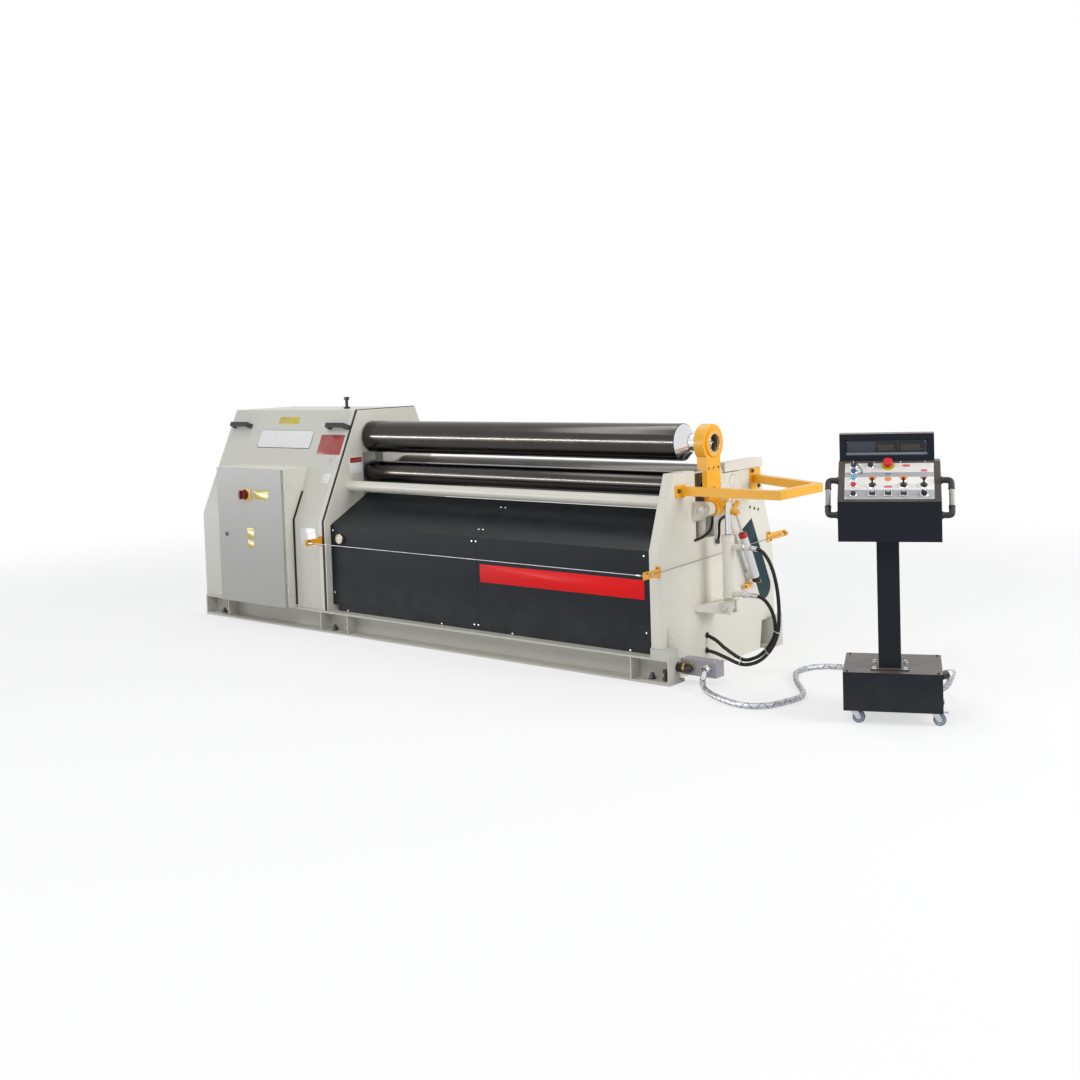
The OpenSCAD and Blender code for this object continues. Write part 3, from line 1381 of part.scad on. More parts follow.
module drop_end() {
    cheek_outer = lever_cheek_y + lever_cheek;
    color([0.95, 0.68, 0.1]) difference() {
        union() {
            x_rod(eye_inner_x, eye_outer_x - eye_inner_x, eye_radius, top_roll_y, top_roll_z);
            x_rod(eye_outer_x - 1, eye_ring_height + 1, eye_ring_radius, top_roll_y, top_roll_z);
            box([eye_outer_x - stem_thickness, top_roll_y - stem_width / 2, stem_shoulder_z],
                [eye_outer_x, top_roll_y + stem_width / 2, top_roll_z - eye_radius + stem_lap]);
            box([eye_inner_x, top_roll_y - stem_width / 2, top_roll_z - eye_radius - eye_block_drop],
                [eye_outer_x, top_roll_y + stem_width / 2, top_roll_z - eye_radius + stem_lap]);
            box([eye_outer_x - stem_thickness, barrel_front_y, hinge_z - stem_tail],
                [eye_outer_x, barrel_rear_y, stem_shoulder_z + 1]);
            y_rod(barrel_front_y, hinge_barrel_width, hinge_barrel_radius, hinge_x, hinge_z);
            for (y = [top_roll_y - cheek_outer, top_roll_y + lever_cheek_y])
                xz_plate(y, lever_cheek) translate([hinge_x, hinge_z]) rotate(lever_angle) {
                    translate([lever_length, 0]) circle(r = lever_eye_radius);
                    polygon([[lever_start, -lever_root], [lever_length, -lever_eye_radius],
                        [lever_length, lever_eye_radius], [lever_start, lever_root]]);
                }
            for (y = [top_roll_y - cheek_outer - rod_pin_head_height, top_roll_y + cheek_outer - 1])
                y_rod(y, rod_pin_head_height + 1, rod_pin_head_radius, rod_x, rod_z);
        }
        x_rod(eye_inner_x - 1, eye_outer_x - eye_inner_x + eye_ring_height + 2, eye_bore_radius,
            top_roll_y, top_roll_z);
        x_cone(eye_inner_x, top_nose_start - eye_inner_x, eye_mouth_radius, eye_bore_radius,
            top_roll_y, top_roll_z);
        y_rod(barrel_front_y - 1, hinge_barrel_width + 2, hinge_pin_diameter / 2 + hinge_pin_gap,
            hinge_x, hinge_z);
    }
}

module drop_rod() {
    color([0.7, 0.7, 0.7]) {
        y_rod(top_roll_y - rod_eye_thickness / 2, rod_eye_thickness, lever_eye_radius, rod_x, rod_z);
        translate([rod_x, top_roll_y, rod_z - drop_rod_length])
            cylinder(h = drop_rod_length - lever_eye_radius + rod_eye_root, d = drop_rod_diameter);
    }
}

module drop_port(z) {
    x_rod(rod_x, port_reach, port_radius - 2, top_roll_y, z);
    translate([rod_x + drop_cylinder_diameter / 2 + port_radius - port_nut_step, top_roll_y, z])
        rotate([0, 90, 0])
            cylinder(h = port_radius + port_nut_step, r = port_radius + port_nut_step, $fn = 6);
    x_rod(rod_x + port_reach - port_sleeve, port_sleeve, port_radius, top_roll_y, z);
}

module drop_cylinder() {
    bore = drop_rod_diameter / 2 + drop_rod_gap;
    color([0.82, 0.82, 0.78]) difference() {
        union() {
            translate([rod_x, top_roll_y, drop_cylinder_bottom])
                cylinder(h = drop_cylinder_length, d = drop_cylinder_diameter);
            drop_port(upper_port_z);
            drop_port(lower_port_z);
            box([rod_x - clevis_eye_radius, top_roll_y - clevis_eye_thickness / 2, clevis_z],
                [rod_x + clevis_eye_radius, top_roll_y + clevis_eye_thickness / 2, drop_cylinder_bottom + 1]);
            y_rod(top_roll_y - clevis_eye_thickness / 2, clevis_eye_thickness, clevis_eye_radius,
                rod_x, clevis_z);
        }
        translate([rod_x, top_roll_y, lower_port_z + port_radius + drop_rod_diameter / 3])
            cylinder(h = drop_cylinder_length, r = bore);
        y_rod(top_roll_y - clevis_eye_thickness, 2 * clevis_eye_thickness,
            clevis_pin_diameter / 2 + clevis_pin_gap, rod_x, clevis_z);
    }
}

module cylinder_bracket() {
    throat = rod_x - bracket_throat;
    tip = rod_x + bracket_tip;
    slot_half = clevis_eye_thickness / 2 + clevis_side_gap;
    bottom = clevis_z - bracket_below;
    difference() {
        intersection() {
            translate([0, top_roll_y, bottom]) linear_extrude(bracket_below + bracket_above)
                polygon([[drop_frame_outer_x, -bracket_root_half], [throat, -bracket_fork_half],
                    [tip, -bracket_fork_half], [tip, bracket_fork_half], [throat, bracket_fork_half],
                    [drop_frame_outer_x, bracket_root_half]]);
            xz_plate(top_roll_y - bracket_root_half - 1, 2 * bracket_root_half + 2)
                polygon([[drop_frame_outer_x, bottom + bracket_root_rise], [throat, bottom], [tip, bottom],
                    [tip, clevis_z + bracket_above], [throat, clevis_z + bracket_above],
                    [drop_frame_outer_x, bottom + bracket_root_rise + bracket_root_height]]);
        }
        box([throat, top_roll_y - slot_half, bottom - 1],
            [tip + 1, top_roll_y + slot_half, clevis_z + bracket_above + 1]);
    }
    y_rod(top_roll_y - bracket_fork_half - hinge_pin_proud, 2 * (bracket_fork_half + hinge_pin_proud),
        clevis_pin_diameter / 2, rod_x, clevis_z);
}

// ---------- guard, trip wire, sensor ----------

module guard_bar() {
    half = guard_tube / 2;
    start_x = drop_frame_outer_x + guard_plate;
    run = norm([guard_outer_x - start_x, guard_rear_y - guard_corner_y]);
    turn = atan2(guard_rear_y - guard_corner_y, start_x - guard_outer_x);
    color([0.95, 0.68, 0.1]) {
        translate([0, 0, guard_z - half]) linear_extrude(guard_tube) difference() {
            union() {
                translate([start_x - 1, guard_front_y - half]) square([guard_outer_x + half - start_x + 1,
                    guard_tube]);
                translate([guard_outer_x - half, guard_front_y - half])
                    square([guard_tube, guard_corner_y - guard_front_y + half]);
                translate([guard_outer_x, guard_corner_y]) circle(r = half);
                translate([guard_outer_x, guard_corner_y]) rotate(turn) translate([0, -half])
                    square([run, guard_tube]);
            }
            translate([start_x - guard_reach - 1, -half_width]) square([guard_reach, base_width]);
        }
        box([drop_frame_outer_x, guard_front_y - half - guard_front_plate_reach,
            guard_z - guard_front_plate_half], [start_x, guard_front_y + half, guard_z + guard_front_plate_half]);
        box([drop_frame_outer_x, guard_rear_y - guard_rear_plate_half, guard_z - guard_rear_plate_height],
            [start_x, guard_rear_y + guard_rear_plate_half, guard_z + guard_rear_plate_height]);
    }
}

module trip_arm(x, y0, y1, z) {
    box([x - trip_arm_thickness / 2, min(y0, y1), z - trip_arm_height / 2],
        [x + trip_arm_thickness / 2, max(y0, y1), z + trip_arm_height / 2]);
}

module trip_arms() {
    half_plate = trip_plate_height / 2;
    half_arm = trip_arm_thickness / 2;
    right_x = drop_frame_outer_x + half_arm;
    left = trip_left_tip;
    front = trip_front_tip;
    rear = trip_rear_tip;
    color([0.95, 0.68, 0.1]) {
        trip_arm(left[0], left[1] - trip_arm_tip, housing_front_y, left[2]);
        box([left[0] - trip_plate_width / 2, housing_front_y - trip_plate, left[2] - half_plate],
            [left[0] + trip_plate_width / 2, housing_front_y, left[2] + half_plate]);
        trip_arm(right_x, front[1] - trip_arm_tip, frame_front_y, front[2]);
        box([right_x + half_arm - trip_plate_width, frame_front_y - trip_plate, front[2] - half_plate],
            [right_x + half_arm, frame_front_y, front[2] + half_plate]);
        trip_arm(right_x, half_width - trip_rear_plate, rear[1] + trip_arm_tip, rear[2]);
        box([drop_frame_outer_x, half_width - trip_rear_plate, rear[2] - half_plate],
            [drop_frame_outer_x + trip_plate, half_width - frame_middle_inset, rear[2] + half_plate]);
        for (tip = [front, rear])
            box([right_x + half_arm, tip[1] - trip_holder / 2, tip[2] - trip_holder / 2],
                [tip[0] + trip_holder / 2, tip[1] + trip_holder / 2, tip[2] + trip_holder / 2]);
    }
}

module trip_wire() {
    r = trip_wire_diameter / 2;
    half_arm = trip_arm_thickness / 2;
    half_holder = trip_holder / 2;
    color([0.5, 0.5, 0.5]) {
        rod_between(trip_left_tip + [half_arm, 0, 0],
            [drop_frame_outer_x, trip_front_tip[1], trip_front_tip[2]], r);
        rod_between(trip_front_tip + [0, half_holder, 0], trip_rear_tip - [0, half_holder, 0], r);
    }
}

module rod_between(a, b, r) {
    v = b - a;
    translate(a) rotate([0, acos(v[2] / norm(v)), atan2(v[1], v[0])]) cylinder(h = norm(v), r = r);
}

// Local frame of the sensor: origin at its top, Z pointing down the slot, Y away from the slot.
module at_sensor() {
    translate([sensor_x, rear_slot_y, rear_slot_z]) rotate([rear_slot_lean, 0, 0])
        translate([0, -sensor_offset, sensor_rise]) rotate([180, 0, 0]) children();
}

module position_sensor() {
    color([0.75, 0.75, 0.76]) at_sensor() difference() {
        union() {
            cylinder(h = sensor_length, d = sensor_diameter);
            box([-sensor_reach, -clamp_width / 2, clamp_drop], [0, clamp_width / 2, clamp_drop + clamp_height]);
        }
        translate([0, 0, -1]) cylinder(h = sensor_length - sensor_floor + 1,
            d = sensor_rod_diameter + 2 * sensor_rod_gap);
    }
}

module sensor_pickup() {
    r = pickup_disc_diameter / 2;
    block_edge = -(sensor_offset - rear_slot_width / 2 + slot_clearance);
    lap_edge = block_edge - pickup_lap;
    color([0.95, 0.68, 0.1]) at_sensor() translate([0, 0, -sensor_stroke]) {
        cylinder(h = sensor_stroke + sensor_rod_depth, d = sensor_rod_diameter);
        translate([0, 0, -pickup_height / 2]) cylinder(h = pickup_height, r = r);
        box([pickup_gap - sensor_reach, lap_edge, -pickup_height / 2],
            [pickup_gap - sensor_reach + pickup_arm, 0, pickup_height / 2]);
        box([pickup_gap - sensor_reach, -r / 2, -pickup_height / 2], [0, r / 2, pickup_height / 2]);
        box([-sensor_reach, lap_edge, -pickup_height / 2],
            [pickup_gap - sensor_reach + 1, block_edge - pickup_gap, pickup_height / 2]);
    }
}

// ---------- hoses, pipes, junction box ----------

module hydraulic_hose_upper() {
    color([0.06, 0.06, 0.06]) swept_tube(upper_hose_route, hose_diameter / 2, 3, 10, [0, 1, 0],
        [1, 0, 0], [-1, 0, 0]);
}

module hydraulic_hose_lower() {
    color([0.06, 0.06, 0.06]) swept_tube(lower_hose_route, hose_diameter / 2, 3, 10, [0, 1, 0],
        [1, 0, 0], [-1, 0, 0]);
}

module cable_pipe() {
    r = cable_pipe_diameter / 2;
    y = junction_front_y - r - cable_pipe_gap;
    z = junction_bottom_z + cable_pipe_rise;
    x = half_length + cable_pipe_reach;
    x_rod(half_length, cable_pipe_reach, r, y, z);
    translate([x, y, z]) sphere(r = r);
    y_rod(y, junction_front_y - y + 1, r - 3, x, z);
}

module junction_box() {
    lo = [half_length, junction_front_y, junction_bottom_z];
    color([0.75, 0.74, 0.8]) {
        difference() {
            box(lo, lo + [junction_length, junction_depth, junction_height]);
            box(lo + [-1, -1, junction_height - junction_lid - 2],
                lo + [junction_length + 1, 0.6, junction_height - junction_lid]);
        }
        cable_pipe();
    }
}

module armoured_conduit() {
    color([0.75, 0.76, 0.78]) swept_tube(conduit_route, conduit_diameter / 2, 2, 12, [0, 0, 1],
        [0, -1, 0], [-cos(desk_turn + gland_angle), -sin(desk_turn + gland_angle), 0]);
}

// ---------- control desk ----------

module desk_foot() {
    side = desk_foot_width / 2;
    color([0.13, 0.14, 0.17]) at_desk() difference() {
        union() {
            box([-side, 0, desk_foot_bottom], [side, desk_foot_depth, desk_foot_top]);
            translate([side, gland_setback, gland_z]) rotate([0, 90, gland_angle])
                translate([0, 0, -gland_length / 2]) cylinder(h = 1.5 * gland_length, d = gland_diameter);
        }
        for (x = [-1, 1]) for (y = [caster_front, caster_rear])
            translate([x * caster_offset_x, y, desk_foot_bottom - 1])
                cylinder(h = caster_stem_height + caster_socket_extra,
                    d = caster_stem_diameter + 2 * caster_gap);
    }
}

module desk_column() {
    color([0.13, 0.14, 0.17]) at_desk()
        box([column_offset - column_width / 2, column_setback, desk_foot_top],
            [column_offset + column_width / 2, column_setback + column_depth, console_bottom]);
}

module console_body() {
    difference() {
        yz_plate(-console_width / 2, console_width)
            polygon([[console_front, console_bottom], [console_front, console_front_z],
                [display_front, console_rear_z], [display_back, console_rear_z],
                [display_back, console_back_z], [console_under_depth, console_bottom]]);
        on_panel(stop_button_offset, stop_button_along) translate([0, 0, -stop_shaft_depth])
            cylinder(h = 2 * stop_shaft_depth, d = stop_shaft_diameter + 2 * stop_shaft_gap);
    }
}

module display_box() {
    difference() {
        box([display_left, display_front, console_rear_z],
            [display_left + display_width, display_back, display_top]);
        box([display_left + display_rim, display_front - 1, console_rear_z + display_rim],
            [display_left + display_width - display_rim, display_front + display_recess,
             display_top - display_rim]);
    }
}

module desk_handle(side) {
    x = side * console_width / 2;
    r = desk_handle_diameter / 2;
    socket = r + desk_handle_socket;
    reach = side * desk_handle_reach;
    top = [x + reach, console_front + desk_handle_top_y, console_rear_z - desk_handle_top_drop];
    low = [x + reach, console_front + desk_handle_low_y, console_front_z - desk_handle_low_drop];
    for (end = [top, low]) {
        rod_between([x, end[1], end[2]], end, socket);
        translate(end) sphere(r = socket);
    }
    rod_between(top, low, r);
}

module desk_handles() {
    color([0.3, 0.3, 0.3]) at_desk() {
        desk_handle(-1);
        desk_handle(1);
    }
}

module desk_console() {
    color([0.13, 0.14, 0.17]) at_desk() {
        console_body();
        display_box();
    }
}

module stop_button() {
    color([0.8, 0.05, 0.05]) at_desk() on_panel(stop_button_offset, stop_button_along) {
        translate([0, 0, -stop_shaft_depth / 2])
            cylinder(h = stop_shaft_depth / 2 + stop_button_height, d = stop_shaft_diameter);
        translate([0, 0, stop_button_height - stop_cap_height])
            cylinder(h = stop_cap_height, d = stop_button_diameter);
    }
}

// ---------- casters ----------

// Each caster trails to the desk's right.
module at_caster(i) {
    at_desk() translate([caster_places[i][0], caster_places[i][1], 0]) children();
}

module caster_fork(i, brake) {
    tail = wheel_radius - caster_fork_lap;
    half = fork_half + fork_cheek;
    color([0.6, 0.62, 0.65]) at_caster(i) {
        translate([0, 0, caster_head_top - caster_head_height]) cylinder(h = caster_head_height,
            d = caster_head_diameter);
        translate([0, 0, caster_head_top - 1]) cylinder(h = caster_stem_height + 1, d = caster_stem_diameter);
        for (s = [-1, 1]) translate([0, s * (fork_half + fork_cheek / 2), 0])
            xz_plate(-fork_cheek / 2, fork_cheek)
            polygon([[-caster_head_front, caster_head_top], [caster_head_back, caster_head_top],
                [caster_trail + caster_axle_diameter, wheel_radius + caster_axle_diameter / 2],
                [caster_trail + caster_fork_lap, tail], [caster_trail - caster_fork_lap, tail]]);
        box([-caster_head_front, -half, caster_head_top - fork_cheek], [caster_head_back, half, caster_head_top]);
        translate([caster_trail, -half, wheel_radius]) rotate([-90, 0, 0])
            cylinder(h = 2 * half, d = caster_axle_diameter);
        if (brake) box([caster_head_front, -caster_brake_width / 2, caster_head_top - caster_head_height],
            [caster_trail + caster_brake_reach, caster_brake_width / 2, caster_head_top - 1]);
    }
}

module caster_wheel(i) {
    color([0.45, 0.5, 0.56]) at_caster(i) translate([caster_trail, 0, wheel_radius]) rotate([90, 0, 0])
        difference() {
            cylinder(h = caster_wheel_width, r = wheel_radius, center = true);
            cylinder(h = caster_wheel_width + 2, d = caster_axle_diameter + 2 * caster_gap, center = true);
        }
}

module caster_fork_1() {
    caster_fork(0, true);
}

module caster_fork_2() {
    caster_fork(1, true);
}

module caster_fork_3() {
    caster_fork(2, false);
}

module caster_fork_4() {
    caster_fork(3, false);
}

module caster_wheel_1() {
    caster_wheel(0);
}

module caster_wheel_2() {
    caster_wheel(1);
}

module caster_wheel_3() {
    caster_wheel(2);
}

module caster_wheel_4() {
    caster_wheel(3);
}

base_rails();
base_cross_members();
levelling_bolts();
drive_side_frame();
drop_side_frame();
slot_cap();
tie_bars();
drive_housing();
housing_seals();
housing_fittings();
electric_cabinet();
cabinet_door();
main_switch();
covers();
pressure_gauge();
top_roll();
pinch_roll();
pinch_roll_blocks();
rear_roll();
rear_roll_blocks();
roll_cylinders();
drop_end();
drop_end_brackets();
drop_cylinder();
drop_rod();
guard_bar();
trip_arms();
trip_wire();
position_sensor();
sensor_pickup();
hydraulic_hose_upper();
hydraulic_hose_lower();
junction_box();
armoured_conduit();
desk_foot();
desk_column();
desk_console();
desk_handles();
stop_button();
caster_fork_1();
caster_fork_2();
caster_fork_3();
caster_fork_4();
caster_wheel_1();
caster_wheel_2();
caster_wheel_3();
caster_wheel_4();
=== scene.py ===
"""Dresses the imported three-roll plate bending machine and its control desk, and sets them on a plain stage."""

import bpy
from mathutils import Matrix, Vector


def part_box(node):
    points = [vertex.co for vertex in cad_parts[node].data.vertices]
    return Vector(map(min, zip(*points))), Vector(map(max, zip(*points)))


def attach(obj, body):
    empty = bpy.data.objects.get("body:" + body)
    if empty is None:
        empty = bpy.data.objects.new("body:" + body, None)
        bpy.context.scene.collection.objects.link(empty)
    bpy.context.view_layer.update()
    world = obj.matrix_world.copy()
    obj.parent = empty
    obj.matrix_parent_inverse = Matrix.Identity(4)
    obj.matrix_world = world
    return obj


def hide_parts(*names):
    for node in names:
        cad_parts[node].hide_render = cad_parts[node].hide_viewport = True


bl_info = {
    "name": "Plate bending machine",
    "version": (1, 0, 0),
    "blender": (4, 5, 0),
    "location": "3D View > Sidebar > Bending machine",
    "description": "Builds the finishes and small parts of a three-roll plate bending machine",
    "category": "Object",
}

import math
from functools import partial

import bmesh
import bpy
from bpy.props import FloatProperty, FloatVectorProperty, PointerProperty
from bpy.types import Operator, Panel, PropertyGroup
from mathutils import Matrix, Vector

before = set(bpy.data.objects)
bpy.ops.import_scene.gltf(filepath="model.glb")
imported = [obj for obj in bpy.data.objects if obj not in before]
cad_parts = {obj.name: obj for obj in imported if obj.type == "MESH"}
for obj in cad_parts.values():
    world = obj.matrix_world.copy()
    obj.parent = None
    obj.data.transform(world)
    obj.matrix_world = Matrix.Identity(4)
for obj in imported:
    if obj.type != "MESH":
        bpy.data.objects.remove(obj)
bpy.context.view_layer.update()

# ---------- places in the machine, in millimetres ----------

MM = 0.001
FRONT, REAR, DROP, DRIVE, TOP = (0, -1, 0), (0, 1, 0), (1, 0, 0), (-1, 0, 0), (0, 0, 1)
SENSOR_LEAN = math.radians(26.5)
SENSOR_TOP = (1690, 148.4, 608.8)
SENSOR_ALONG = (0, -math.sin(SENSOR_LEAN), math.cos(SENSOR_LEAN))
ROLL_Y, ROLL_Z = -115, 1072
HINGE_X, HINGE_Z = 1707, 769
RAM_X = 1768
EYE_FACE, EYE_BOSS_FACE = 1700, 1708
GUARD_PLATE_FACE = 1653
HOUSING_FRONT, HOUSING_REAR = -500, 500
INNER_FACE = -600
SLOPE_FOOT = (-500, 618)
SLOPE_TOP = (-215, 1228)
DESK = Matrix.Translation((2785, -573, 0)) @ Matrix.Rotation(math.radians(24), 4, "Z")
OVERLAY = 1.2
DESK_SIDE, FOOT_TOP = 197, 212
PANEL = DESK @ Matrix.Translation((0, -20, 893)) @ Matrix.Rotation(math.atan(144 / 170), 4, "X")


# ---------- settings ----------

def length(name, description, default, low=0.0, high=10.0):
    return FloatProperty(name=name, description=description, default=default, min=low, max=high,
                         unit="LENGTH", precision=4)


def angle(name, description, degrees):
    return FloatProperty(name=name, description=description, default=math.radians(degrees), subtype="ANGLE")


def paint(name, description, default):
    return FloatVectorProperty(name=name, description=description, default=default, min=0.0, max=1.0,
                               size=3, subtype="COLOR")


class PaintSettings(PropertyGroup):
    """Colours of the painted and plastic parts."""
    frame_cream: paint("Frame cream", "Paint of the side frames, brackets and tie bars", (0.70, 0.68, 0.60))
    housing_grey: paint("Housing grey", "Paint of the drive housing", (0.60, 0.60, 0.54))
    door_grey: paint("Door grey", "Paint of the electric cabinet door", (0.385, 0.385, 0.365))
    base_grey: paint("Base grey", "Paint of the base rails", (0.56, 0.56, 0.51))
    cover_slate: paint("Cover slate", "Paint of the lower covers", (0.009, 0.013, 0.017))
    guard_yellow: paint("Guard yellow", "Paint of the guard bar and the drop end", (0.85, 0.41, 0.012))
    label_yellow: paint("Label yellow", "Film of the yellow labels", (0.56, 0.44, 0.016))
    label_red: paint("Label red", "Film of the red label", (0.34, 0.022, 0.014))
    stripe_red: paint("Stripe red", "Band across the front cover", (0.82, 0.012, 0.014))
    cylinder_teal: paint("Cylinder teal", "Paint of the roll cylinders", (0.008, 0.035, 0.045))
    desk_blue_black: paint("Desk blue-black", "Paint of the control desk", (0.008, 0.0105, 0.017))
    # This colour is painted light: a painted sheen given to the desk's upward faces in place of reflected light.
    desk_sheen_taupe: paint("Panel taupe", "Sheen on the upward faces of the desk", (0.12, 0.10, 0.088))


class StageSettings(PropertyGroup):
    """Floor, lamps and camera."""
    floor_colour: paint("Floor colour", "Colour of the floor", (0.90, 0.90, 0.90))
    camera_x: length("Camera X", "Camera position along the rolls", 5.037, -50, 50)
    camera_y: length("Camera Y", "Camera position across the machine", -5.441, -50, 50)
    eye_height: length("Eye height", "Height of the camera", 1.500, 0.1, 20)
    camera_turn: angle("Camera turn", "Turn of the view to the left of the rear", 39.44)
    camera_dip: angle("Camera dip", "How far the view looks down", 3.0)
    camera_roll: angle("Camera roll", "Roll of the camera", -1.84)


# ---------- nodes ----------

FLOAT, COLOUR, VECTOR = "NodeSocketFloat", "NodeSocketColor", "NodeSocketVector"


def give(tree, inputs, given):
    """Gives each named input its value, or a link from another node."""
    for key, value in given.items():
        if isinstance(value, bpy.types.NodeSocket):
            tree.links.new(value, inputs[key])
        else:
            inputs[key].default_value = value


def node(tree, kind, given=None, **settings):
    """Adds a node with its settings and what its inputs are given."""
    made = tree.nodes.new(kind)
    for key, value in settings.items():
        setattr(made, key, value)
    give(tree, made.inputs, given or {})
    return made


def maths(tree, operation, a, b=None, clamp=False):
    given = {0: a} if b is None else {0: a, 1: b}
    return node(tree, "ShaderNodeMath", given, operation=operation, use_clamp=clamp).outputs[0]


def vectors(tree, operation, a, b=None):
    given = {0: a} if b is None else {0: a, 1: b}
    return node(tree, "ShaderNodeVectorMath", given, operation=operation).outputs


def mixed(tree, factor, first, second, kind="RGBA"):
    """Mixes two colours, or two values."""
    slot, out = (6, 2) if kind == "RGBA" else (2, 0)
    return node(tree, "ShaderNodeMix", {"Factor": factor, slot: first, slot + 1: second}, data_type=kind).outputs[out]


def noise(tree, place, scale, detail=2.0, roughness=0.5):
    given = {"Vector": place, "Scale": scale, "Detail": detail, "Roughness": roughness}
    return node(tree, "ShaderNodeTexNoise", given).outputs["Fac"]


def ranged(tree, value, given, **settings):
    return node(tree, "ShaderNodeMapRange", {"Value": value, **given}, **settings).outputs["Result"]


def bumped(tree, height, strength, distance, normal=None):
    given = {"Height": height, "Strength": strength, "Distance": distance}
    if normal is not None:
        given["Normal"] = normal
    return node(tree, "ShaderNodeBump", given).outputs["Normal"]


def object_place(tree):
    return node(tree, "ShaderNodeTexCoord").outputs["Object"]


def surface_normal(tree):
    return node(tree, "ShaderNodeNewGeometry").outputs["Normal"]


def along_tube(tree):
    """Length and turn along a swept tube."""
    return node(tree, "ShaderNodeUVMap", uv_map="UVMap").outputs[0]


def parts(tree, vector):
    return node(tree, "ShaderNodeSeparateXYZ", {0: vector}).outputs


# ---------- node groups ----------

def paint_skin(tree, given):
    """Fine sprayed texture, mottling and dust of a painted surface."""
    sums = partial(maths, tree)
    place = object_place(tree)
    grain = noise(tree, place, given["Grain size"])
    lighter = ranged(tree, noise(tree, place, 3.0, 6.0, 0.6), {"To Min": -1.0})
    level = sums("ADD", sums("MULTIPLY", lighter, given["Mottle"]), 1.0)
    shade = node(tree, "ShaderNodeVectorMath", {0: given["Colour"], "Scale": level}, operation="SCALE").outputs[0]
    # Dust settles low down and on upward faces.
    low = ranged(tree, parts(tree, place)["Z"], {"From Min": 0.35, "From Max": 0.0})
    upward = sums("MULTIPLY", sums("MAXIMUM", parts(tree, surface_normal(tree))["Z"], 0.0), 0.5)
    patch = noise(tree, place, 14.0, 8.0)
    dust = sums("MULTIPLY", sums("MULTIPLY", sums("ADD", low, upward), patch), given["Dust"], clamp=True)
    change = sums("ADD", sums("MULTIPLY", dust, 0.35), sums("MULTIPLY", sums("SUBTRACT", patch, 0.5), 0.16))
    return {"Colour": mixed(tree, dust, shade, given["Dust colour"]),
            "Roughness": sums("ADD", given["Roughness"], change, clamp=True), "Height": grain}


def edge_wear(tree, given):
    """Rounded edge normals and a mask along sharp edges, where paint wears first."""
    sums = partial(maths, tree)
    soft = node(tree, "ShaderNodeBevel", {"Radius": given["Edge radius"]}, samples=4).outputs["Normal"]
    bent = sums("SUBTRACT", 1.0, vectors(tree, "DOT_PRODUCT", soft, surface_normal(tree))["Value"])
    chip = noise(tree, object_place(tree), 60.0, 6.0)
    ragged = sums("SUBTRACT", sums("MULTIPLY", bent, 6.0), sums("MULTIPLY", chip, 1.1))
    return {"Mask": sums("MULTIPLY", sums("MAXIMUM", ragged, 0.0), given["Wear"], clamp=True), "Normal": soft}


def ground_lines(tree, given):
    """Fine lines left by grinding or turning, across one axis, with cloudy oil marks."""
    sums = partial(maths, tree)
    place = object_place(tree)
    lines = noise(tree, vectors(tree, "MULTIPLY", place, given["Stretch"])[0], 1.0, 3.0)
    cloud = noise(tree, place, 9.0, 7.0)
    spread = sums("ADD", sums("MULTIPLY", lines, 0.5), sums("MULTIPLY", cloud, 0.5))
    marks = sums("MULTIPLY", sums("SUBTRACT", spread, 0.5), given["Marks"])
    return {"Roughness": sums("ADD", given["Roughness"], marks, clamp=True), "Height": lines, "Tone": cloud}


def braid(tree, given):
    """Crossing strands round a tube: how high they stand, the gaps, and where a dark tracer runs."""
    sums = partial(maths, tree)
    where = parts(tree, along_tube(tree))
    along = sums("DIVIDE", where["X"], given["Lay length"])
    heights, tracers = [], []
    for sign in (1.0, -1.0):
        turn = sums("ADD", sums("MULTIPLY", along, sign), where["Y"])
        inside = sums("FRACT", sums("MULTIPLY", turn, given["Strands"]))
        heights.append(sums("SINE", sums("MULTIPLY", inside, math.pi)))
        tracers.append(sums("LESS_THAN", sums("FRACT", turn), given["Tracer"]))
    wave = sums("SINE", sums("MULTIPLY", sums("MULTIPLY", along, given["Strands"]), math.tau))
    height = mixed(tree, sums("GREATER_THAN", wave, 0.0), *heights, "FLOAT")
    return {"Height": height, "Tracer": sums("MAXIMUM", *tracers), "Gap": sums("LESS_THAN", height, 0.35)}


GROUPS = {
    "Paint skin": (
        paint_skin,
        [("Colour", COLOUR, (0.8, 0.8, 0.8, 1)), ("Dust colour", COLOUR, (0.5, 0.47, 0.4, 1)),
         ("Grain size", FLOAT, 900.0), ("Mottle", FLOAT, 0.06), ("Dust", FLOAT, 0.15), ("Roughness", FLOAT, 0.45)],
        [("Colour", COLOUR), ("Roughness", FLOAT), ("Height", FLOAT)]),
    "Edge wear": (
        edge_wear,
        [("Edge radius", FLOAT, 0.002), ("Wear", FLOAT, 0.5)],
        [("Mask", FLOAT), ("Normal", VECTOR)]),
    "Ground lines": (
        ground_lines,
        [("Stretch", VECTOR, (1, 1, 1)), ("Roughness", FLOAT, 0.3), ("Marks", FLOAT, 0.1)],
        [("Roughness", FLOAT), ("Height", FLOAT), ("Tone", FLOAT)]),
    "Braid": (
        braid,
        [("Strands", FLOAT, 12.0), ("Lay length", FLOAT, 60.0), ("Tracer", FLOAT, 0.07)],
        [("Height", FLOAT), ("Tracer", FLOAT), ("Gap", FLOAT)]),
}


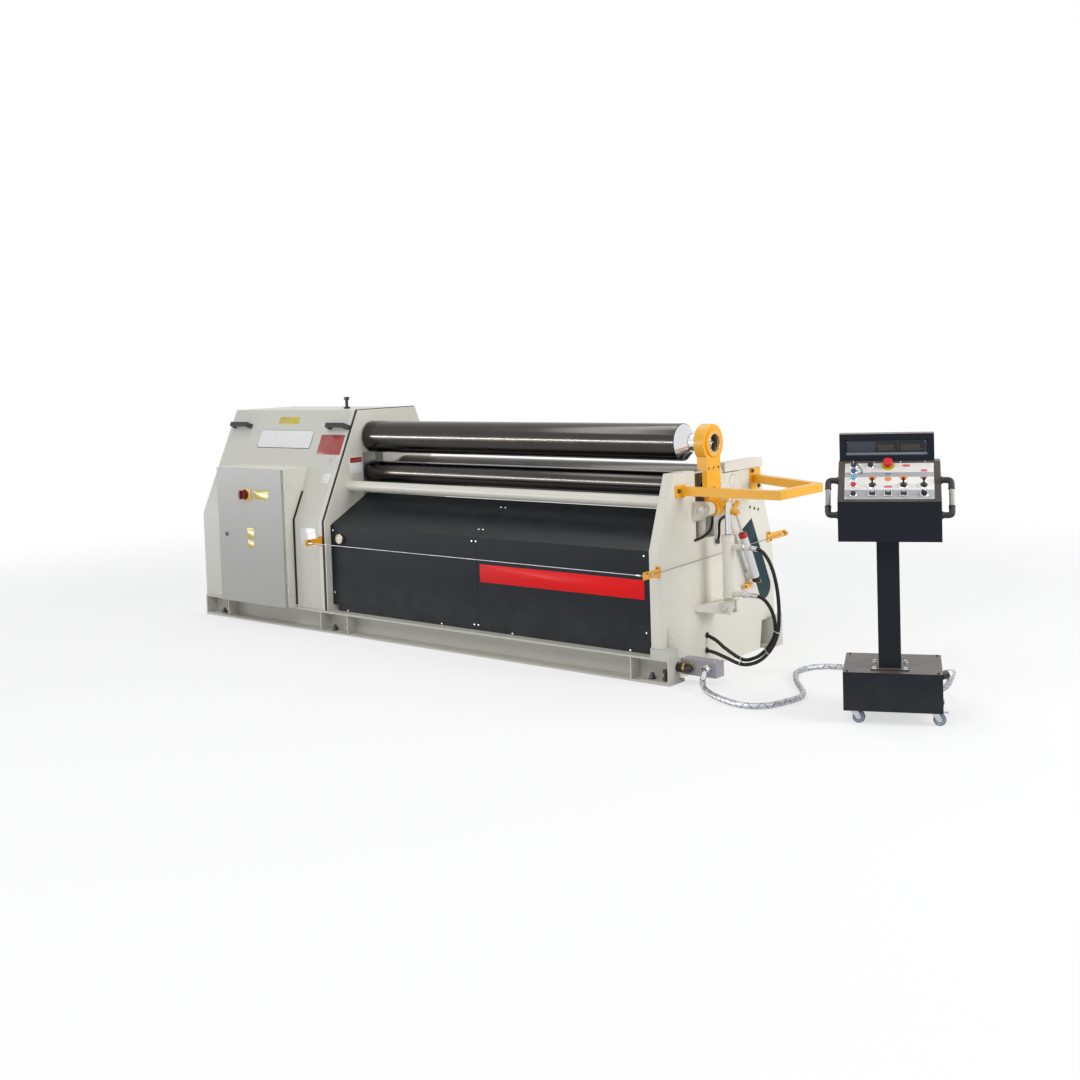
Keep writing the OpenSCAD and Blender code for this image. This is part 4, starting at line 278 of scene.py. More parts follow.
def use_group(tree, name, **values):
    """Places a node group, which is built the first time it is used."""
    group = bpy.data.node_groups.get(name)
    if group is None:
        build, inputs, outputs = GROUPS[name]
        group = bpy.data.node_groups.new(name, "ShaderNodeTree")
        for label, kind, value in inputs:
            group.interface.new_socket(name=label, in_out="INPUT", socket_type=kind).default_value = value
        for label, kind in outputs:
            group.interface.new_socket(name=label, in_out="OUTPUT", socket_type=kind)
        given = group.nodes.new("NodeGroupInput").outputs
        give(group, group.nodes.new("NodeGroupOutput").inputs, build(group, given))
    made = node(tree, "ShaderNodeGroup", node_tree=group)
    give(tree, made.inputs, {key.replace("_", " "): value for key, value in values.items()})
    return made.outputs


# ---------- finishes ----------

BLACK = (0.012, 0.012, 0.013)
PRIMER = (0.35, 0.33, 0.30, 1)


def finish_once(build):
    """Wraps a finish, so that each named material is built once."""
    def finish(name, *given, **values):
        material = bpy.data.materials.get(name)
        if material is None:
            material = bpy.data.materials.new(name)
            material.use_nodes = True
            build(material.node_tree, *given, **values)
        return material
    return finish


def dress(tree, given):
    """Gives the material's main shader its values and links."""
    give(tree, tree.nodes["Principled BSDF"].inputs, given)


@finish_once
def painted(tree, colour, roughness=0.42, grain=700.0, bump=0.05, mottle=0.05, dust=0.25, wear=0.35,
            coat=0.0, gloss=0.5):
    """Sprayed paint, with a fine grain, dust and worn edges."""
    skin = use_group(tree, "Paint skin", Colour=(*colour, 1), Grain_size=grain, Mottle=mottle, Dust=dust,
                     Roughness=roughness)
    worn = use_group(tree, "Edge wear", Edge_radius=0.0015, Wear=wear)
    dress(tree, {"Base Color": mixed(tree, worn["Mask"], skin["Colour"], PRIMER), "Roughness": skin["Roughness"],
                 "Specular IOR Level": gloss, "Normal": bumped(tree, skin["Height"], bump, 0.001, worn["Normal"])})
    if coat:
        dress(tree, {"Coat Weight": coat, "Coat Roughness": 0.15})


@finish_once
def bare_metal(tree, colour, roughness=0.3, stretch=(900, 4, 4), marks=0.25):
    """Bare metal with fine lines and soft edges."""
    lines = use_group(tree, "Ground lines", Stretch=stretch, Roughness=roughness, Marks=marks)
    worn = use_group(tree, "Edge wear", Edge_radius=0.001, Wear=0.0)
    tone = mixed(tree, lines["Tone"], (*[c * 0.86 for c in colour], 1), (*[min(1, c * 1.1) for c in colour], 1))
    dress(tree, {"Metallic": 1.0, "Base Color": tone, "Roughness": lines["Roughness"],
                 "Normal": bumped(tree, lines["Height"], 0.03, 0.0005, worn["Normal"])})


@finish_once
def hose_rubber(tree):
    """Black hose cover with a faint wrap pattern along it."""
    skin = use_group(tree, "Paint skin", Colour=(0.008, 0.008, 0.009, 1), Grain_size=1200.0, Mottle=0.1, Dust=0.08,
                     Roughness=0.42)
    wrap = node(tree, "ShaderNodeTexWave", {"Vector": along_tube(tree), "Scale": 0.35}, wave_type="BANDS",
                bands_direction="DIAGONAL")
    dress(tree, {"Base Color": skin["Colour"], "Roughness": skin["Roughness"], "Specular IOR Level": 0.2,
                 "Normal": bumped(tree, wrap.outputs["Fac"], 0.12, 0.0006)})


@finish_once
def braided_steel(tree):
    """Bright wire braid with two dark tracer strands."""
    strands = use_group(tree, "Braid", Strands=12.0, Lay_length=62.0, Tracer=0.055)
    bright = mixed(tree, strands["Gap"], (0.60, 0.61, 0.65, 1), (0.17, 0.18, 0.20, 1))
    dress(tree, {"Metallic": 1.0, "Roughness": 0.3,
                 "Base Color": mixed(tree, strands["Tracer"], bright, (0.02, 0.02, 0.03, 1)),
                 "Normal": bumped(tree, strands["Height"], 0.6, 0.0008)})


@finish_once
def desk_paint(tree, colour, sheen):
    """Dark desk paint with a little dust and worn edges; its upward faces are painted paler, a painted sheen in place
    of the light they reflect.
    """
    skin = use_group(tree, "Paint skin", Colour=(*colour, 1), Grain_size=900.0, Mottle=0.12, Dust=0.06,
                     Roughness=0.34)
    worn = use_group(tree, "Edge wear", Edge_radius=0.0015, Wear=0.25)
    # Painted sheen: upward faces are mixed, patchily, towards the sheen colour.
    lit = ranged(tree, parts(tree, surface_normal(tree))["Z"], {"From Min": 0.35, "From Max": 0.80},
                 interpolation_type="SMOOTHSTEP")
    cloud = noise(tree, object_place(tree), 4.0)
    share = maths(tree, "MULTIPLY", lit, maths(tree, "ADD", cloud, 0.25), clamp=True)
    painted_sheen_colour = mixed(tree, share, skin["Colour"], (*sheen, 1))
    dress(tree, {"Base Color": mixed(tree, worn["Mask"], painted_sheen_colour, (0.20, 0.19, 0.18, 1)),
                 "Roughness": skin["Roughness"], "Specular IOR Level": 0.16,
                 "Normal": bumped(tree, skin["Height"], 0.06, 0.001, worn["Normal"])})


@finish_once
def overlay_print(tree):
    """White printed film with two plain grey bands."""
    skin = use_group(tree, "Paint skin", Colour=(0.80, 0.78, 0.74, 1), Grain_size=500.0, Mottle=0.02, Dust=0.05,
                     Roughness=0.3)
    back = PANEL.inverted()
    on_film = node(tree, "ShaderNodeMapping", {"Vector": object_place(tree), "Rotation": back.to_3x3().to_euler(),
                                               "Location": back.translation * MM}, vector_type="POINT")
    up = parts(tree, on_film.outputs[0])["Y"]

    def band(centre, half):
        away = maths(tree, "ABSOLUTE", maths(tree, "SUBTRACT", up, centre * MM))
        return maths(tree, "LESS_THAN", away, half * MM)

    both = maths(tree, "MAXIMUM", band(146, 13), band(39, 24))
    dress(tree, {"Base Color": mixed(tree, both, skin["Colour"], (0.36, 0.37, 0.39, 1)),
                 "Roughness": skin["Roughness"], "Coat Weight": 0.25})


def moulded(name, colour, roughness=0.5, bump=0.08, dust=0.1, coat=0.0):
    """Moulded plastic or rubber."""
    return painted(name, colour, roughness, 1500.0, bump, 0.03, dust, 0.0, coat, 0.35)


def label_film(name, colour):
    """Printed film, smooth, with faint scuffs."""
    return painted(name, colour, 0.3, 260.0, 0.02, 0.03, 0.08, 0.0, 0.2)


def shared(*names):
    """The finishes that several operators use."""
    p = bpy.context.scene.machine_paints
    even = (60, 60, 60)
    makers = {
        "screw": lambda: bare_metal("zinc screw steel", (0.62, 0.62, 0.63), 0.32, (80, 80, 80)),
        "bolt": lambda: bare_metal("blackened bolt steel", (0.10, 0.10, 0.105), 0.4, even),
        "brass": lambda: bare_metal("brass", (0.55, 0.36, 0.12), 0.3, even),
        "aluminium": lambda: bare_metal("anodised aluminium", (0.72, 0.73, 0.76), 0.33, (700, 30, 30)),
        "zinc plate": lambda: bare_metal("zinc plate", (0.55, 0.57, 0.60), 0.35, (40, 40, 40)),
        "plastic": lambda: moulded("black plastic", BLACK, 0.45),
        "seal": lambda: moulded("seal rubber", (0.008, 0.008, 0.008), 0.7),
        "oil seal": lambda: moulded("oil seal rubber", (0.015, 0.015, 0.017), 0.45),
        "stop red": lambda: moulded("stop red plastic", (0.62, 0.012, 0.02), 0.25),
        "tread": lambda: moulded("caster tread", (0.16, 0.20, 0.26)),
        "film": lambda: label_film("yellow label film", p.label_yellow),
        "cream": lambda: painted("frame cream paint", p.frame_cream),
        "yellow": lambda: painted("guard yellow paint", p.guard_yellow, 0.35, dust=0.12),
        "teal": lambda: painted("cylinder teal paint", p.cylinder_teal, 0.4, gloss=0.12),
        "box": lambda: painted("junction box paint", (0.30, 0.29, 0.335), 0.4),
        "desk": lambda: desk_paint("desk blue-black paint", p.desk_blue_black, p.desk_sheen_taupe),
    }
    return [makers[name]() for name in names]


def past(tree, axis, limit, operation="GREATER_THAN"):
    """Masks what lies past a limit in millimetres along one axis."""
    return maths(tree, operation, parts(tree, object_place(tree))[axis], limit * MM)


def near_axis(tree, point, along, reach):
    """Masks what lies within reach of a line, in millimetres."""
    away = vectors(tree, "SUBTRACT", object_place(tree), [c * MM for c in point])[0]
    across = vectors(tree, "CROSS_PRODUCT", away, along)[0]
    return maths(tree, "LESS_THAN", vectors(tree, "LENGTH", across)["Value"], reach * MM)


def split_finish(material, mask, colour, metallic, roughness):
    """Gives the masked part of a finish another colour, metal and roughness."""
    tree = material.node_tree
    shader = tree.nodes["Principled BSDF"].inputs
    for label, value, kind in (("Base Color", (*colour, 1), "RGBA"), ("Metallic", metallic, "FLOAT"),
                               ("Roughness", roughness, "FLOAT")):
        links = shader[label].links
        first = links[0].from_socket if links else shader[label].default_value
        dress(tree, {label: mixed(tree, mask, first, value, kind)})


# ---------- shapes, in millimetres ----------

def turned(profile, steps=24):
    """Turns (radius, height) points about Z. A third number makes that ring a polygon of so many sides.

    A profile that starts and ends off the axis is closed into a ring with a hole.
    """
    shape = bmesh.new()
    rings = []
    for radius, height, *sides in profile:
        if radius < 1e-6:
            rings.append([shape.verts.new((0, 0, height))])
            continue
        ring = []
        for i in range(steps):
            turn = math.tau * i / steps
            across = 1.0
            if sides:
                wedge = math.tau / sides[0]
                across = math.cos(wedge / 2) / math.cos(turn % wedge - wedge / 2)
            ring.append(shape.verts.new((radius * across * math.cos(turn), radius * across * math.sin(turn), height)))
        rings.append(ring)
    hollow = len(rings[0]) > 1 and len(rings[-1]) > 1
    for low, high in zip(rings, rings[1:] + rings[:1] if hollow else rings[1:]):
        for i in range(steps):
            j = (i + 1) % steps
            corners = dict.fromkeys((low[i % len(low)], low[j % len(low)], high[j % len(high)], high[i % len(high)]))
            if len(corners) > 2:
                shape.faces.new(list(corners))
    bmesh.ops.recalc_face_normals(shape, faces=shape.faces)
    return shape


def block(width, depth, height, edge=0.8):
    """A box with rounded edges that stands on its origin."""
    shape = bmesh.new()
    bmesh.ops.create_cube(shape, size=1.0)
    for vert in shape.verts:
        vert.co = Vector((vert.co.x * width, vert.co.y * depth, (vert.co.z + 0.5) * height))
    if edge:
        bmesh.ops.bevel(shape, geom=shape.edges[:], offset=edge, segments=2, profile=0.5, affect="EDGES")
    return shape


def rounded(width, depth, radius):
    """The outline of a rectangle with round corners."""
    points = []
    for quarter, (side, end) in enumerate(((1, 1), (-1, 1), (-1, -1), (1, -1))):
        for i in range(6):
            turn = math.pi / 2 * (quarter + i / 5)
            points.append((side * (width / 2 - radius) + radius * math.cos(turn),
                           end * (depth / 2 - radius) + radius * math.sin(turn)))
    return points


def plate(outline, thickness, edge=0.0):
    """A flat plate of any outline that stands on its origin, with its top edge rounded."""
    shape = bmesh.new()
    low = [shape.verts.new((x, y, 0)) for x, y in outline]
    high = [shape.verts.new((x, y, thickness)) for x, y in outline]
    shape.faces.new(list(reversed(low)))
    top = shape.faces.new(high)
    for i in range(len(low)):
        j = (i + 1) % len(low)
        shape.faces.new((low[i], low[j], high[j], high[i]))
    if edge:
        bmesh.ops.bevel(shape, geom=list(top.edges), offset=edge, segments=2, profile=0.5, affect="EDGES")
    bmesh.ops.recalc_face_normals(shape, faces=shape.faces)
    return shape


def sheet(width, depth, radius, thickness, edge=0.0):
    """A plate with round corners."""
    return plate(rounded(width, depth, radius), thickness, edge)


def smooth_route(points, steps):
    """A smooth line through the points, with so many steps in each span."""
    points = [Vector(p) for p in points]
    line = []
    for i in range(len(points) - 1):
        a, b = points[max(i - 1, 0)], points[i]
        c, d = points[i + 1], points[min(i + 2, len(points) - 1)]
        for k in range(steps):
            t = k / steps
            line.append(0.5 * (2 * b + (c - a) * t + (2 * a - 5 * b + 4 * c - d) * t * t
                               + (3 * b - a - 3 * c + d) * t ** 3))
    line.append(points[-1])
    return line


def swept(line, radius, sides=16):
    """A round tube along a line, with its length in millimetres and its turn as its surface coordinates."""
    line = [Vector(p) for p in line]
    shape = bmesh.new()
    layer = shape.loops.layers.uv.new("UVMap")
    side = None
    rings, runs = [], [0.0]
    for i, point in enumerate(line):
        ahead = (line[min(i + 1, len(line) - 1)] - line[max(i - 1, 0)]).normalized()
        if side is None:
            side = ahead.orthogonal().normalized()
        side = (side - ahead * side.dot(ahead)).normalized()
        other = ahead.cross(side)
        if i:
            runs.append(runs[-1] + (point - line[i - 1]).length)
        turns = [math.tau * k / sides for k in range(sides)]
        rings.append([shape.verts.new(point + (side * math.cos(t) + other * math.sin(t)) * radius) for t in turns])
    for i in range(len(rings) - 1):
        for k in range(sides):
            j = (k + 1) % sides
            face = shape.faces.new((rings[i][k], rings[i][j], rings[i + 1][j], rings[i + 1][k]))
            for loop, (run, turn) in zip(face.loops, ((i, k), (i, k + 1), (i + 1, k + 1), (i + 1, k))):
                loop[layer].uv = (runs[run], turn / sides)
    shape.faces.new(list(reversed(rings[0])))
    shape.faces.new(rings[-1])
    bmesh.ops.recalc_face_normals(shape, faces=shape.faces)
    return shape


def hex_head(across, height, washer=0.0):
    """A hexagon head or nut with chamfered corners, on a washer."""
    half = across / 2 / math.cos(math.pi / 6)
    foot = [(washer / 2, 0), (washer / 2, 1.6), (half, 1.6, 6)] if washer else [(half, 0, 6)]
    return turned([(0, 0), *foot, (half, height * 0.85, 6), (half * 0.9, height), (0, height)])


def socket_head(diameter, height):
    """A round screw head with a hexagon socket."""
    r = diameter / 2
    return turned([(0, 0), (r, 0), (r, height * 0.85), (r * 0.9, height), (r * 0.55, height, 6),
                   (r * 0.52, height * 0.4, 6), (0, height * 0.4)])


def pan_head(diameter):
    """A low domed screw head."""
    r = diameter / 2
    return turned([(0, 0), (r, 0), (r * 0.95, r * 0.25), (r * 0.7, r * 0.5), (r * 0.3, r * 0.62), (0, r * 0.64)], 16)


def disc(radius, height, steps=24):
    return turned([(0, 0), (radius, 0), (radius, height), (0, height)], steps)


def facing(place, out, up=TOP):
    """Stands a shape at a place with its Z pointing out and its Y as near up as it can be."""
    z = Vector(out).normalized()
    x = Vector(up).cross(z)
    x = x.normalized() if x.length > 1e-4 else Vector((1, 0, 0))
    y = z.cross(x)
    return Matrix.Translation(Vector(place)) @ Matrix((x, y, z)).transposed().to_4x4()


def moved(x, y, z):
    return Matrix.Translation((x, y, z))


def spun(turn, axis="Z"):
    return Matrix.Rotation(turn, 4, axis)


def on_slope(x, z):
    """A place on the housing's sloping front, facing out of it."""
    run, rise = SLOPE_TOP[0] - SLOPE_FOOT[0], SLOPE_TOP[1] - SLOPE_FOOT[1]
    out = Vector((0, -rise, run)).normalized()
    return facing((x, SLOPE_FOOT[0] + (z - SLOPE_FOOT[1]) * run / rise, z), out)


def on_panel(x, along, lift=0.0):
    """A place on the desk's sloping panel."""
    return PANEL @ moved(x, along, lift)


def box_mm(name):
    """The low corner, middle and high corner of a piece's box, in millimetres."""
    low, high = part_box(name)
    return low / MM, (low + high) / 2 / MM, high / MM


class Assembly:
    """Collects shapes of several finishes into one piece that rides on a body."""

    def __init__(self, name, body="machine", base=None):
        self.name, self.body = name, body
        self.base = base or Matrix()
        self.mesh = bmesh.new()
        self.materials = []

    def add(self, shape, material, place=None, out=None, up=TOP):
        """Adds a shape at a placement, or at a point with the way it faces."""
        if out is not None:
            place = facing(place, out, up)
        if material not in self.materials:
            self.materials.append(material)
        index = self.materials.index(material)
        shape.transform(Matrix.Scale(MM, 4) @ self.base @ (place or Matrix()))
        for face in shape.faces:
            face.material_index = index
        passing = bpy.data.meshes.new("passing")
        shape.to_mesh(passing)
        shape.free()
        self.mesh.from_mesh(passing)
        bpy.data.meshes.remove(passing)

    def finish(self, sharp=38.0, replaces=()):
        mesh = bpy.data.meshes.new(self.name)
        self.mesh.to_mesh(mesh)
        self.mesh.free()
        for material in self.materials:
            mesh.materials.append(material)
        mesh.shade_smooth()
        mesh.set_sharp_from_angle(angle=math.radians(sharp))
        made = bpy.data.objects.new(self.name, mesh)
        bpy.context.scene.collection.objects.link(made)
        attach(made, self.body)
        if replaces:
            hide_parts(*replaces)
        return made


# ---------- finishes of the carried-over pieces ----------

class MACHINE_OT_finishes(Operator):
    """Gives every carried-over piece its finish"""
    bl_idname = "machine.finishes"
    bl_label = "Machine finishes"

    def execute(self, context):
        p = context.scene.machine_paints
        cream, yellow, teal, box, desk, black = shared("cream", "yellow", "teal", "box", "desk", "plastic")
        seal, stop_red, aluminium, zinc, tread = shared("seal", "stop red", "aluminium", "zinc plate", "tread")
        hose = hose_rubber("hose rubber")
        base = painted("base grey paint", p.base_grey, dust=0.5, wear=0.5)
        # The rolls' steel is made far darker than steel is: a painted dark reflection in place of the dark surroundings
        # that the real rolls mirror. The polished nose of the top roll stays bright.
        dark_reflection_steel, bright_steel = (0.062, 0.058, 0.054), (0.74, 0.74, 0.75)
        top_roll = bare_metal("top roll steel", dark_reflection_steel, 0.17)
        split_finish(top_roll, past(top_roll.node_tree, "X", 1537.5), bright_steel, 1.0, 0.12)
        pickup = painted("pickup yellow paint", p.guard_yellow, 0.35, dust=0.12)
        split_finish(pickup, near_axis(pickup.node_tree, SENSOR_TOP, SENSOR_ALONG, 5.4), (0.62, 0.62, 0.64), 1.0, 0.2)
        split_finish(box, past(box.node_tree, "Y", -420.5, "LESS_THAN"), BLACK, 0.0, 0.45)
        split_finish(teal, past(teal.node_tree, "Y", 30, "LESS_THAN"), p.frame_cream, 0.0, 0.45)
        rolls = bare_metal("ground roll steel", dark_reflection_steel, 0.2)
        finishes = {
            "drive_side_frame": cream, "drop_side_frame": cream, "slot_cap": cream, "tie_bars": cream,
            "electric_cabinet": cream, "rear_roll_blocks": cream, "drop_end_brackets": cream, "drop_cylinder": cream,
            "drive_housing": painted("housing grey paint", p.housing_grey, grain=450.0, bump=0.10),
            "base_rails": base, "base_cross_members": base,
            "cabinet_door": painted("door grey paint", p.door_grey),
            "covers": painted("cover slate paint", p.cover_slate, 0.38, dust=0.1, wear=0.1, gloss=0.14),
            "guard_bar": yellow, "drop_end": yellow, "trip_arms": yellow, "sensor_pickup": pickup,
            "roll_cylinders": teal, "junction_box": box,
            "desk_foot": desk, "desk_column": desk, "desk_console": desk,
            "housing_seals": seal, "housing_fittings": black, "levelling_bolts": black,
            "main_switch": moulded("switch red plastic", (0.16, 0.006, 0.012), 0.3),
            "stop_button": stop_red,
            "top_roll": top_roll, "pinch_roll": rolls, "rear_roll": rolls,
            "pinch_roll_blocks": bare_metal("machined block steel", (0.42, 0.42, 0.42), 0.35, (5, 5, 700)),
            "drop_rod": bare_metal("hard chrome", (0.75, 0.76, 0.78), 0.08, (5, 5, 900), 0.08),
            "position_sensor": aluminium,
            "trip_wire": bare_metal("trip wire steel", (0.35, 0.35, 0.37), 0.4, (30, 900, 900)),
            # These are replaced by finer pieces and hidden.
            "pressure_gauge": painted("gauge rim paint", (0.55, 0.47, 0.38), 0.4), "desk_handles": black,
            "armoured_conduit": braided_steel("conduit braid"),
            "hydraulic_hose_upper": hose, "hydraulic_hose_lower": hose,
        }
        for i in range(1, 5):
            finishes[f"caster_fork_{i}"] = zinc
            finishes[f"caster_wheel_{i}"] = tread
        for name, material in finishes.items():
            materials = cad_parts[name].data.materials
            materials.clear()
            materials.append(material)
        return {"FINISHED"}


# ---------- cords, in millimetres ----------

UPPER_HOSE = [[1885, -115, 588], [1930, -116, 584], [1965, -118, 562], [1998, -120, 510], [2020, -122, 440],
              [2032, -124, 362], [2034, -125, 286], [2026, -125, 212], [2000, -125, 148], [1955, -125, 92],
              [1900, -125, 56], [1830, -125, 42], [1740, -126, 66], [1690, -127, 80], [1645, -127, 86]]
LOWER_HOSE = [[1885, -115, 368], [1925, -115, 366], [1958, -115, 350], [1988, -115, 312], [2005, -115, 262],
              [2006, -115, 208], [1984, -115, 158], [1942, -115, 108], [1893, -116, 76], [1832, -118, 64],
              [1745, -121, 105], [1695, -123, 139], [1645, -123, 158]]
CONDUIT = [[1835, -420, 84], [1836, -438, 82], [1840, -462, 64], [1849, -489, 38], [1876, -519, 19],
           [1925, -556, 14], [1995, -603, 14], [2082, -642, 14], [2150, -655, 14], [2203, -642, 14],
           [2245, -600, 14], [2266, -545, 14], [2290, -433, 14], [2275, -360, 14], [2240, -304, 14],
           [2154, -191, 14], [2110, -120, 14], [2070, -40, 14], [2064, 40, 14], [2090, 110, 14],
           [2150, 158, 14], [2230, 172, 14], [2330, 150, 14], [2460, 100, 14], [2600, 50, 14], [2700, 18, 18],
           [2764, -36, 34], [2812, -101, 70], [2853, -170, 112], [2890, -241, 150], [2919, -305, 177],
           [2931, -343, 187], [2935, -371, 190], [2932.2, -394.5, 190]]
HOSE_DIAMETER = 17.0
CONDUIT_DIAMETER = 26.0


def run_cord(name, route, diameter, material, node_name, sides, steps, pieces):
    line = smooth_route(route, steps)
    made = Assembly(name)
    made.add(swept(line, diameter / 2, sides), material)
    cord = made.finish(80, (node_name,))


class MACHINE_OT_hoses(Operator):
    """Builds the two cylinder hoses with their fittings, and the ties that hold them together"""
    bl_idname = "machine.hoses"
    bl_label = "Cylinder hoses"

    def execute(self, context):
        rubber = hose_rubber("hose rubber")
        steel = bare_metal("plated fitting steel", (0.52, 0.52, 0.54), 0.3, (60, 60, 60))
        for name, route in (("upper", UPPER_HOSE), ("lower", LOWER_HOSE)):
            fittings = Assembly(f"hose_fittings_{name}")
            start = Vector(route[0])
            along = (Vector(route[1]) - start).normalized()
            fittings.add(turned([(0, 0), (13, 0, 6), (13, 13, 6), (9, 14), (9, 17), (11.5, 18), (11.5, 30), (10.4, 31),
                                 (11.5, 32), (11.5, 44), (9.6, 46), (0, 46)]), steel, start - along * 8, along)
            fittings.add(turned([(8.7, -1), (15, -1), (15, 1.5), (12.5, 4), (8.7, 4)]), rubber, route[-1], DROP)
            run_cord(f"cylinder_hose_{name}", route, HOSE_DIAMETER, rubber, f"hydraulic_hose_{name}", 20, 6,
                     [fittings.finish(30)])
        ties = Assembly("hose_ties")
        nylon = moulded("white nylon", (0.78, 0.78, 0.75), 0.4)
        lines = [smooth_route(route, 12) for route in (UPPER_HOSE, LOWER_HOSE)]
        wide = HOSE_DIAMETER / 2 + 1.0
        for place in ((1826, -121.5, 54), (1966, -120, 118), (2020, -120, 215)):
            near = [min(line, key=lambda p: (p - Vector(place)).length) for line in lines]
            index = lines[0].index(near[0])
            ahead = (lines[0][index + 1] - lines[0][index - 1]).normalized()
            across = near[1] - near[0]
            across -= ahead * across.dot(ahead)
            reach = max(across.length, 1e-3)
            across.normalize()
            out = ahead.cross(across)
            middle = (near[0] + near[1]) / 2
            loop = []
            for i in range(49):
                turn = math.tau * i / 48
                shift = reach / 2 if math.cos(turn) > 0 else -reach / 2
                loop.append(middle + across * (math.cos(turn) * wide + shift) + out * math.sin(turn) * wide)
            ties.add(swept(loop, 1.5, 8), nylon)
            ties.add(block(8, 5, 5, 0.8), nylon, middle + out * wide, out, ahead)
            ties.add(block(3, 1.4, 16, 0.4), nylon, middle + out * (wide + 3), out, ahead)
        ties.finish(60)
        return {"FINISHED"}


class MACHINE_OT_conduit(Operator):
    """Builds the braided conduit that runs along the floor to the control desk, with its glands"""
    bl_idname = "machine.conduit"
    bl_label = "Conduit"

    def execute(self, context):
        nickel = bare_metal("nickel gland", (0.66, 0.65, 0.62), 0.22, (60, 60, 60))
        radius = CONDUIT_DIAMETER / 2
        gland = [(radius + 1, -6), (18, -6), (18, 3, 6), (19.5, 4, 6), (19.5, 13, 6), (18, 14), (16.5, 15),
                 (16.5, 24), (15.5, 26), (radius + 1, 34), (radius + 0.2, 34)]
        pieces = []
        for name, at, towards in (("box", CONDUIT[0], CONDUIT[1]), ("desk", CONDUIT[-1], CONDUIT[-2])):
            made = Assembly(f"conduit_gland_{name}")
            made.add(turned(gland), nickel, at, (Vector(towards) - Vector(at)).normalized())
            pieces.append(made.finish(30))
        run_cord("floor_conduit", CONDUIT, CONDUIT_DIAMETER, braided_steel("conduit braid"), "armoured_conduit", 24, 5,
                 pieces)
        return {"FINISHED"}


# ---------- machine details ----------

class MACHINE_OT_housing_trim(Operator):
    """Adds the plates, labels and screws of the drive housing"""
    bl_idname = "machine.housing_trim"
    bl_label = "Housing trim"

    def execute(self, context):
        white = label_film("white label film", (0.80, 0.80, 0.79))
        red = label_film("red label film", context.scene.machine_paints.label_red)
        grey = label_film("grey label film", (0.60, 0.60, 0.585))
        edge = moulded("painted drop shadow plate", (0.05, 0.05, 0.05))
        yellow, zinc = shared("film", "screw")
        trim = Assembly("housing_labels")
        # Width, height, corner radius, thickness and edge of each plate, its film and its place.
        for size, material, place in (
                ((178, 44, 3, 0.4, 0.2), yellow, on_slope(-1170, 1167)),
                # The dark plate under the big white label is a painted drop shadow: it shows as a dark rim round the
                # label, widest along its foot.
                ((480, 113, 14, 1.0), edge, on_slope(-1156, 1059)),
                ((474, 107, 12, 1.8, 0.5), white, on_slope(-1156, 1060)),
                ((198, 122, 3, 0.5, 0.2), red, on_slope(-744, 1034)),
                ((84, 70, 3, 0.4, 0.2), grey, on_slope(-676, 930)),
                ((66, 62, 3, 0.4, 0.2), white, on_slope(-700, 850)),
                ((129, 100, 3, 0.5, 0.2), white, facing((-745, HOUSING_FRONT, 527), FRONT)),
                ((100, 94, 3, 0.5, 0.2), white, facing((INNER_FACE, -248, 918), DROP)),
                ((92, 30, 6, 0.8, 0.2), red, facing((INNER_FACE, -248, 946), DROP))):
            trim.add(sheet(*size), material, place)
        trim.finish()
        screws = Assembly("housing_screws")
        for x, z in ((-1577, 130), (-801, 132)):
            screws.add(pan_head(11), zinc, (x, HOUSING_FRONT, z), FRONT)
        fold, rise, lean = 615, 613, 260
        for x in (-1640, -1420, -1170, -920, -700):
            for z in (160, 590, 900):
                y = HOUSING_REAR if z < fold else HOUSING_REAR - (z - fold) * lean / rise
                screws.add(pan_head(11), zinc, (x, y, z), (0, rise, lean) if z > fold else REAR)
        screws.finish()
        return {"FINISHED"}


class MACHINE_OT_cabinet_trim(Operator):
    """Adds the switch plate, lock, labels and seal strips of the electric cabinet"""
    bl_idname = "machine.cabinet_trim"
    bl_label = "Cabinet trim"

    def execute(self, context):
        yellow, black, zinc, rubber = shared("film", "plastic", "screw", "seal")
        front = box_mm("cabinet_door")[0].y + 6
        x, _, z = box_mm("main_switch")[1]
        trim = Assembly("door_trim", "cabinet_door")
        plate_x = x + 17
        trim.add(sheet(70, 70, 4, 3, 0.8), moulded("switch yellow plastic", (0.80, 0.42, 0.01), 0.35),
                 (plate_x, front, z), FRONT)
        trim.add(turned([(7, 0), (30, 0), (30, 5), (28.5, 6.5), (7, 6.5)], 48), black, (x, front, z), FRONT)
        for wide, high, across, up in ((122, 54, 147, z + 2), (68, 60, 34, 535), (56, 44, 34, 471)):
            trim.add(sheet(wide, high, 3, 0.5, 0.2), yellow, (x + across, front, up), FRONT)
        trim.add(turned([(0, 0), (11.6, 0), (10.4, 1.8), (4.2, 1.8, 3), (4.2, 0.6, 3), (0, 0.6)]), black,
                 (-1372, front - 6, 518), FRONT)
        for dz in (-27, 27):
            for dx in (-27, 27):
                trim.add(pan_head(6), zinc, (plate_x + dx, front - 3, z + dz), FRONT)
        trim.finish()
        cabinet = Assembly("cabinet_rim")
        low, middle, high = box_mm("electric_cabinet")
        for up in (high.z - 12, low.z + 12):
            cabinet.add(block(high.x - low.x - 40, 8, 2.5, 0.8), rubber, (middle.x - 2, low.y + 2.4, up), FRONT)
        cabinet.finish()
        return {"FINISHED"}


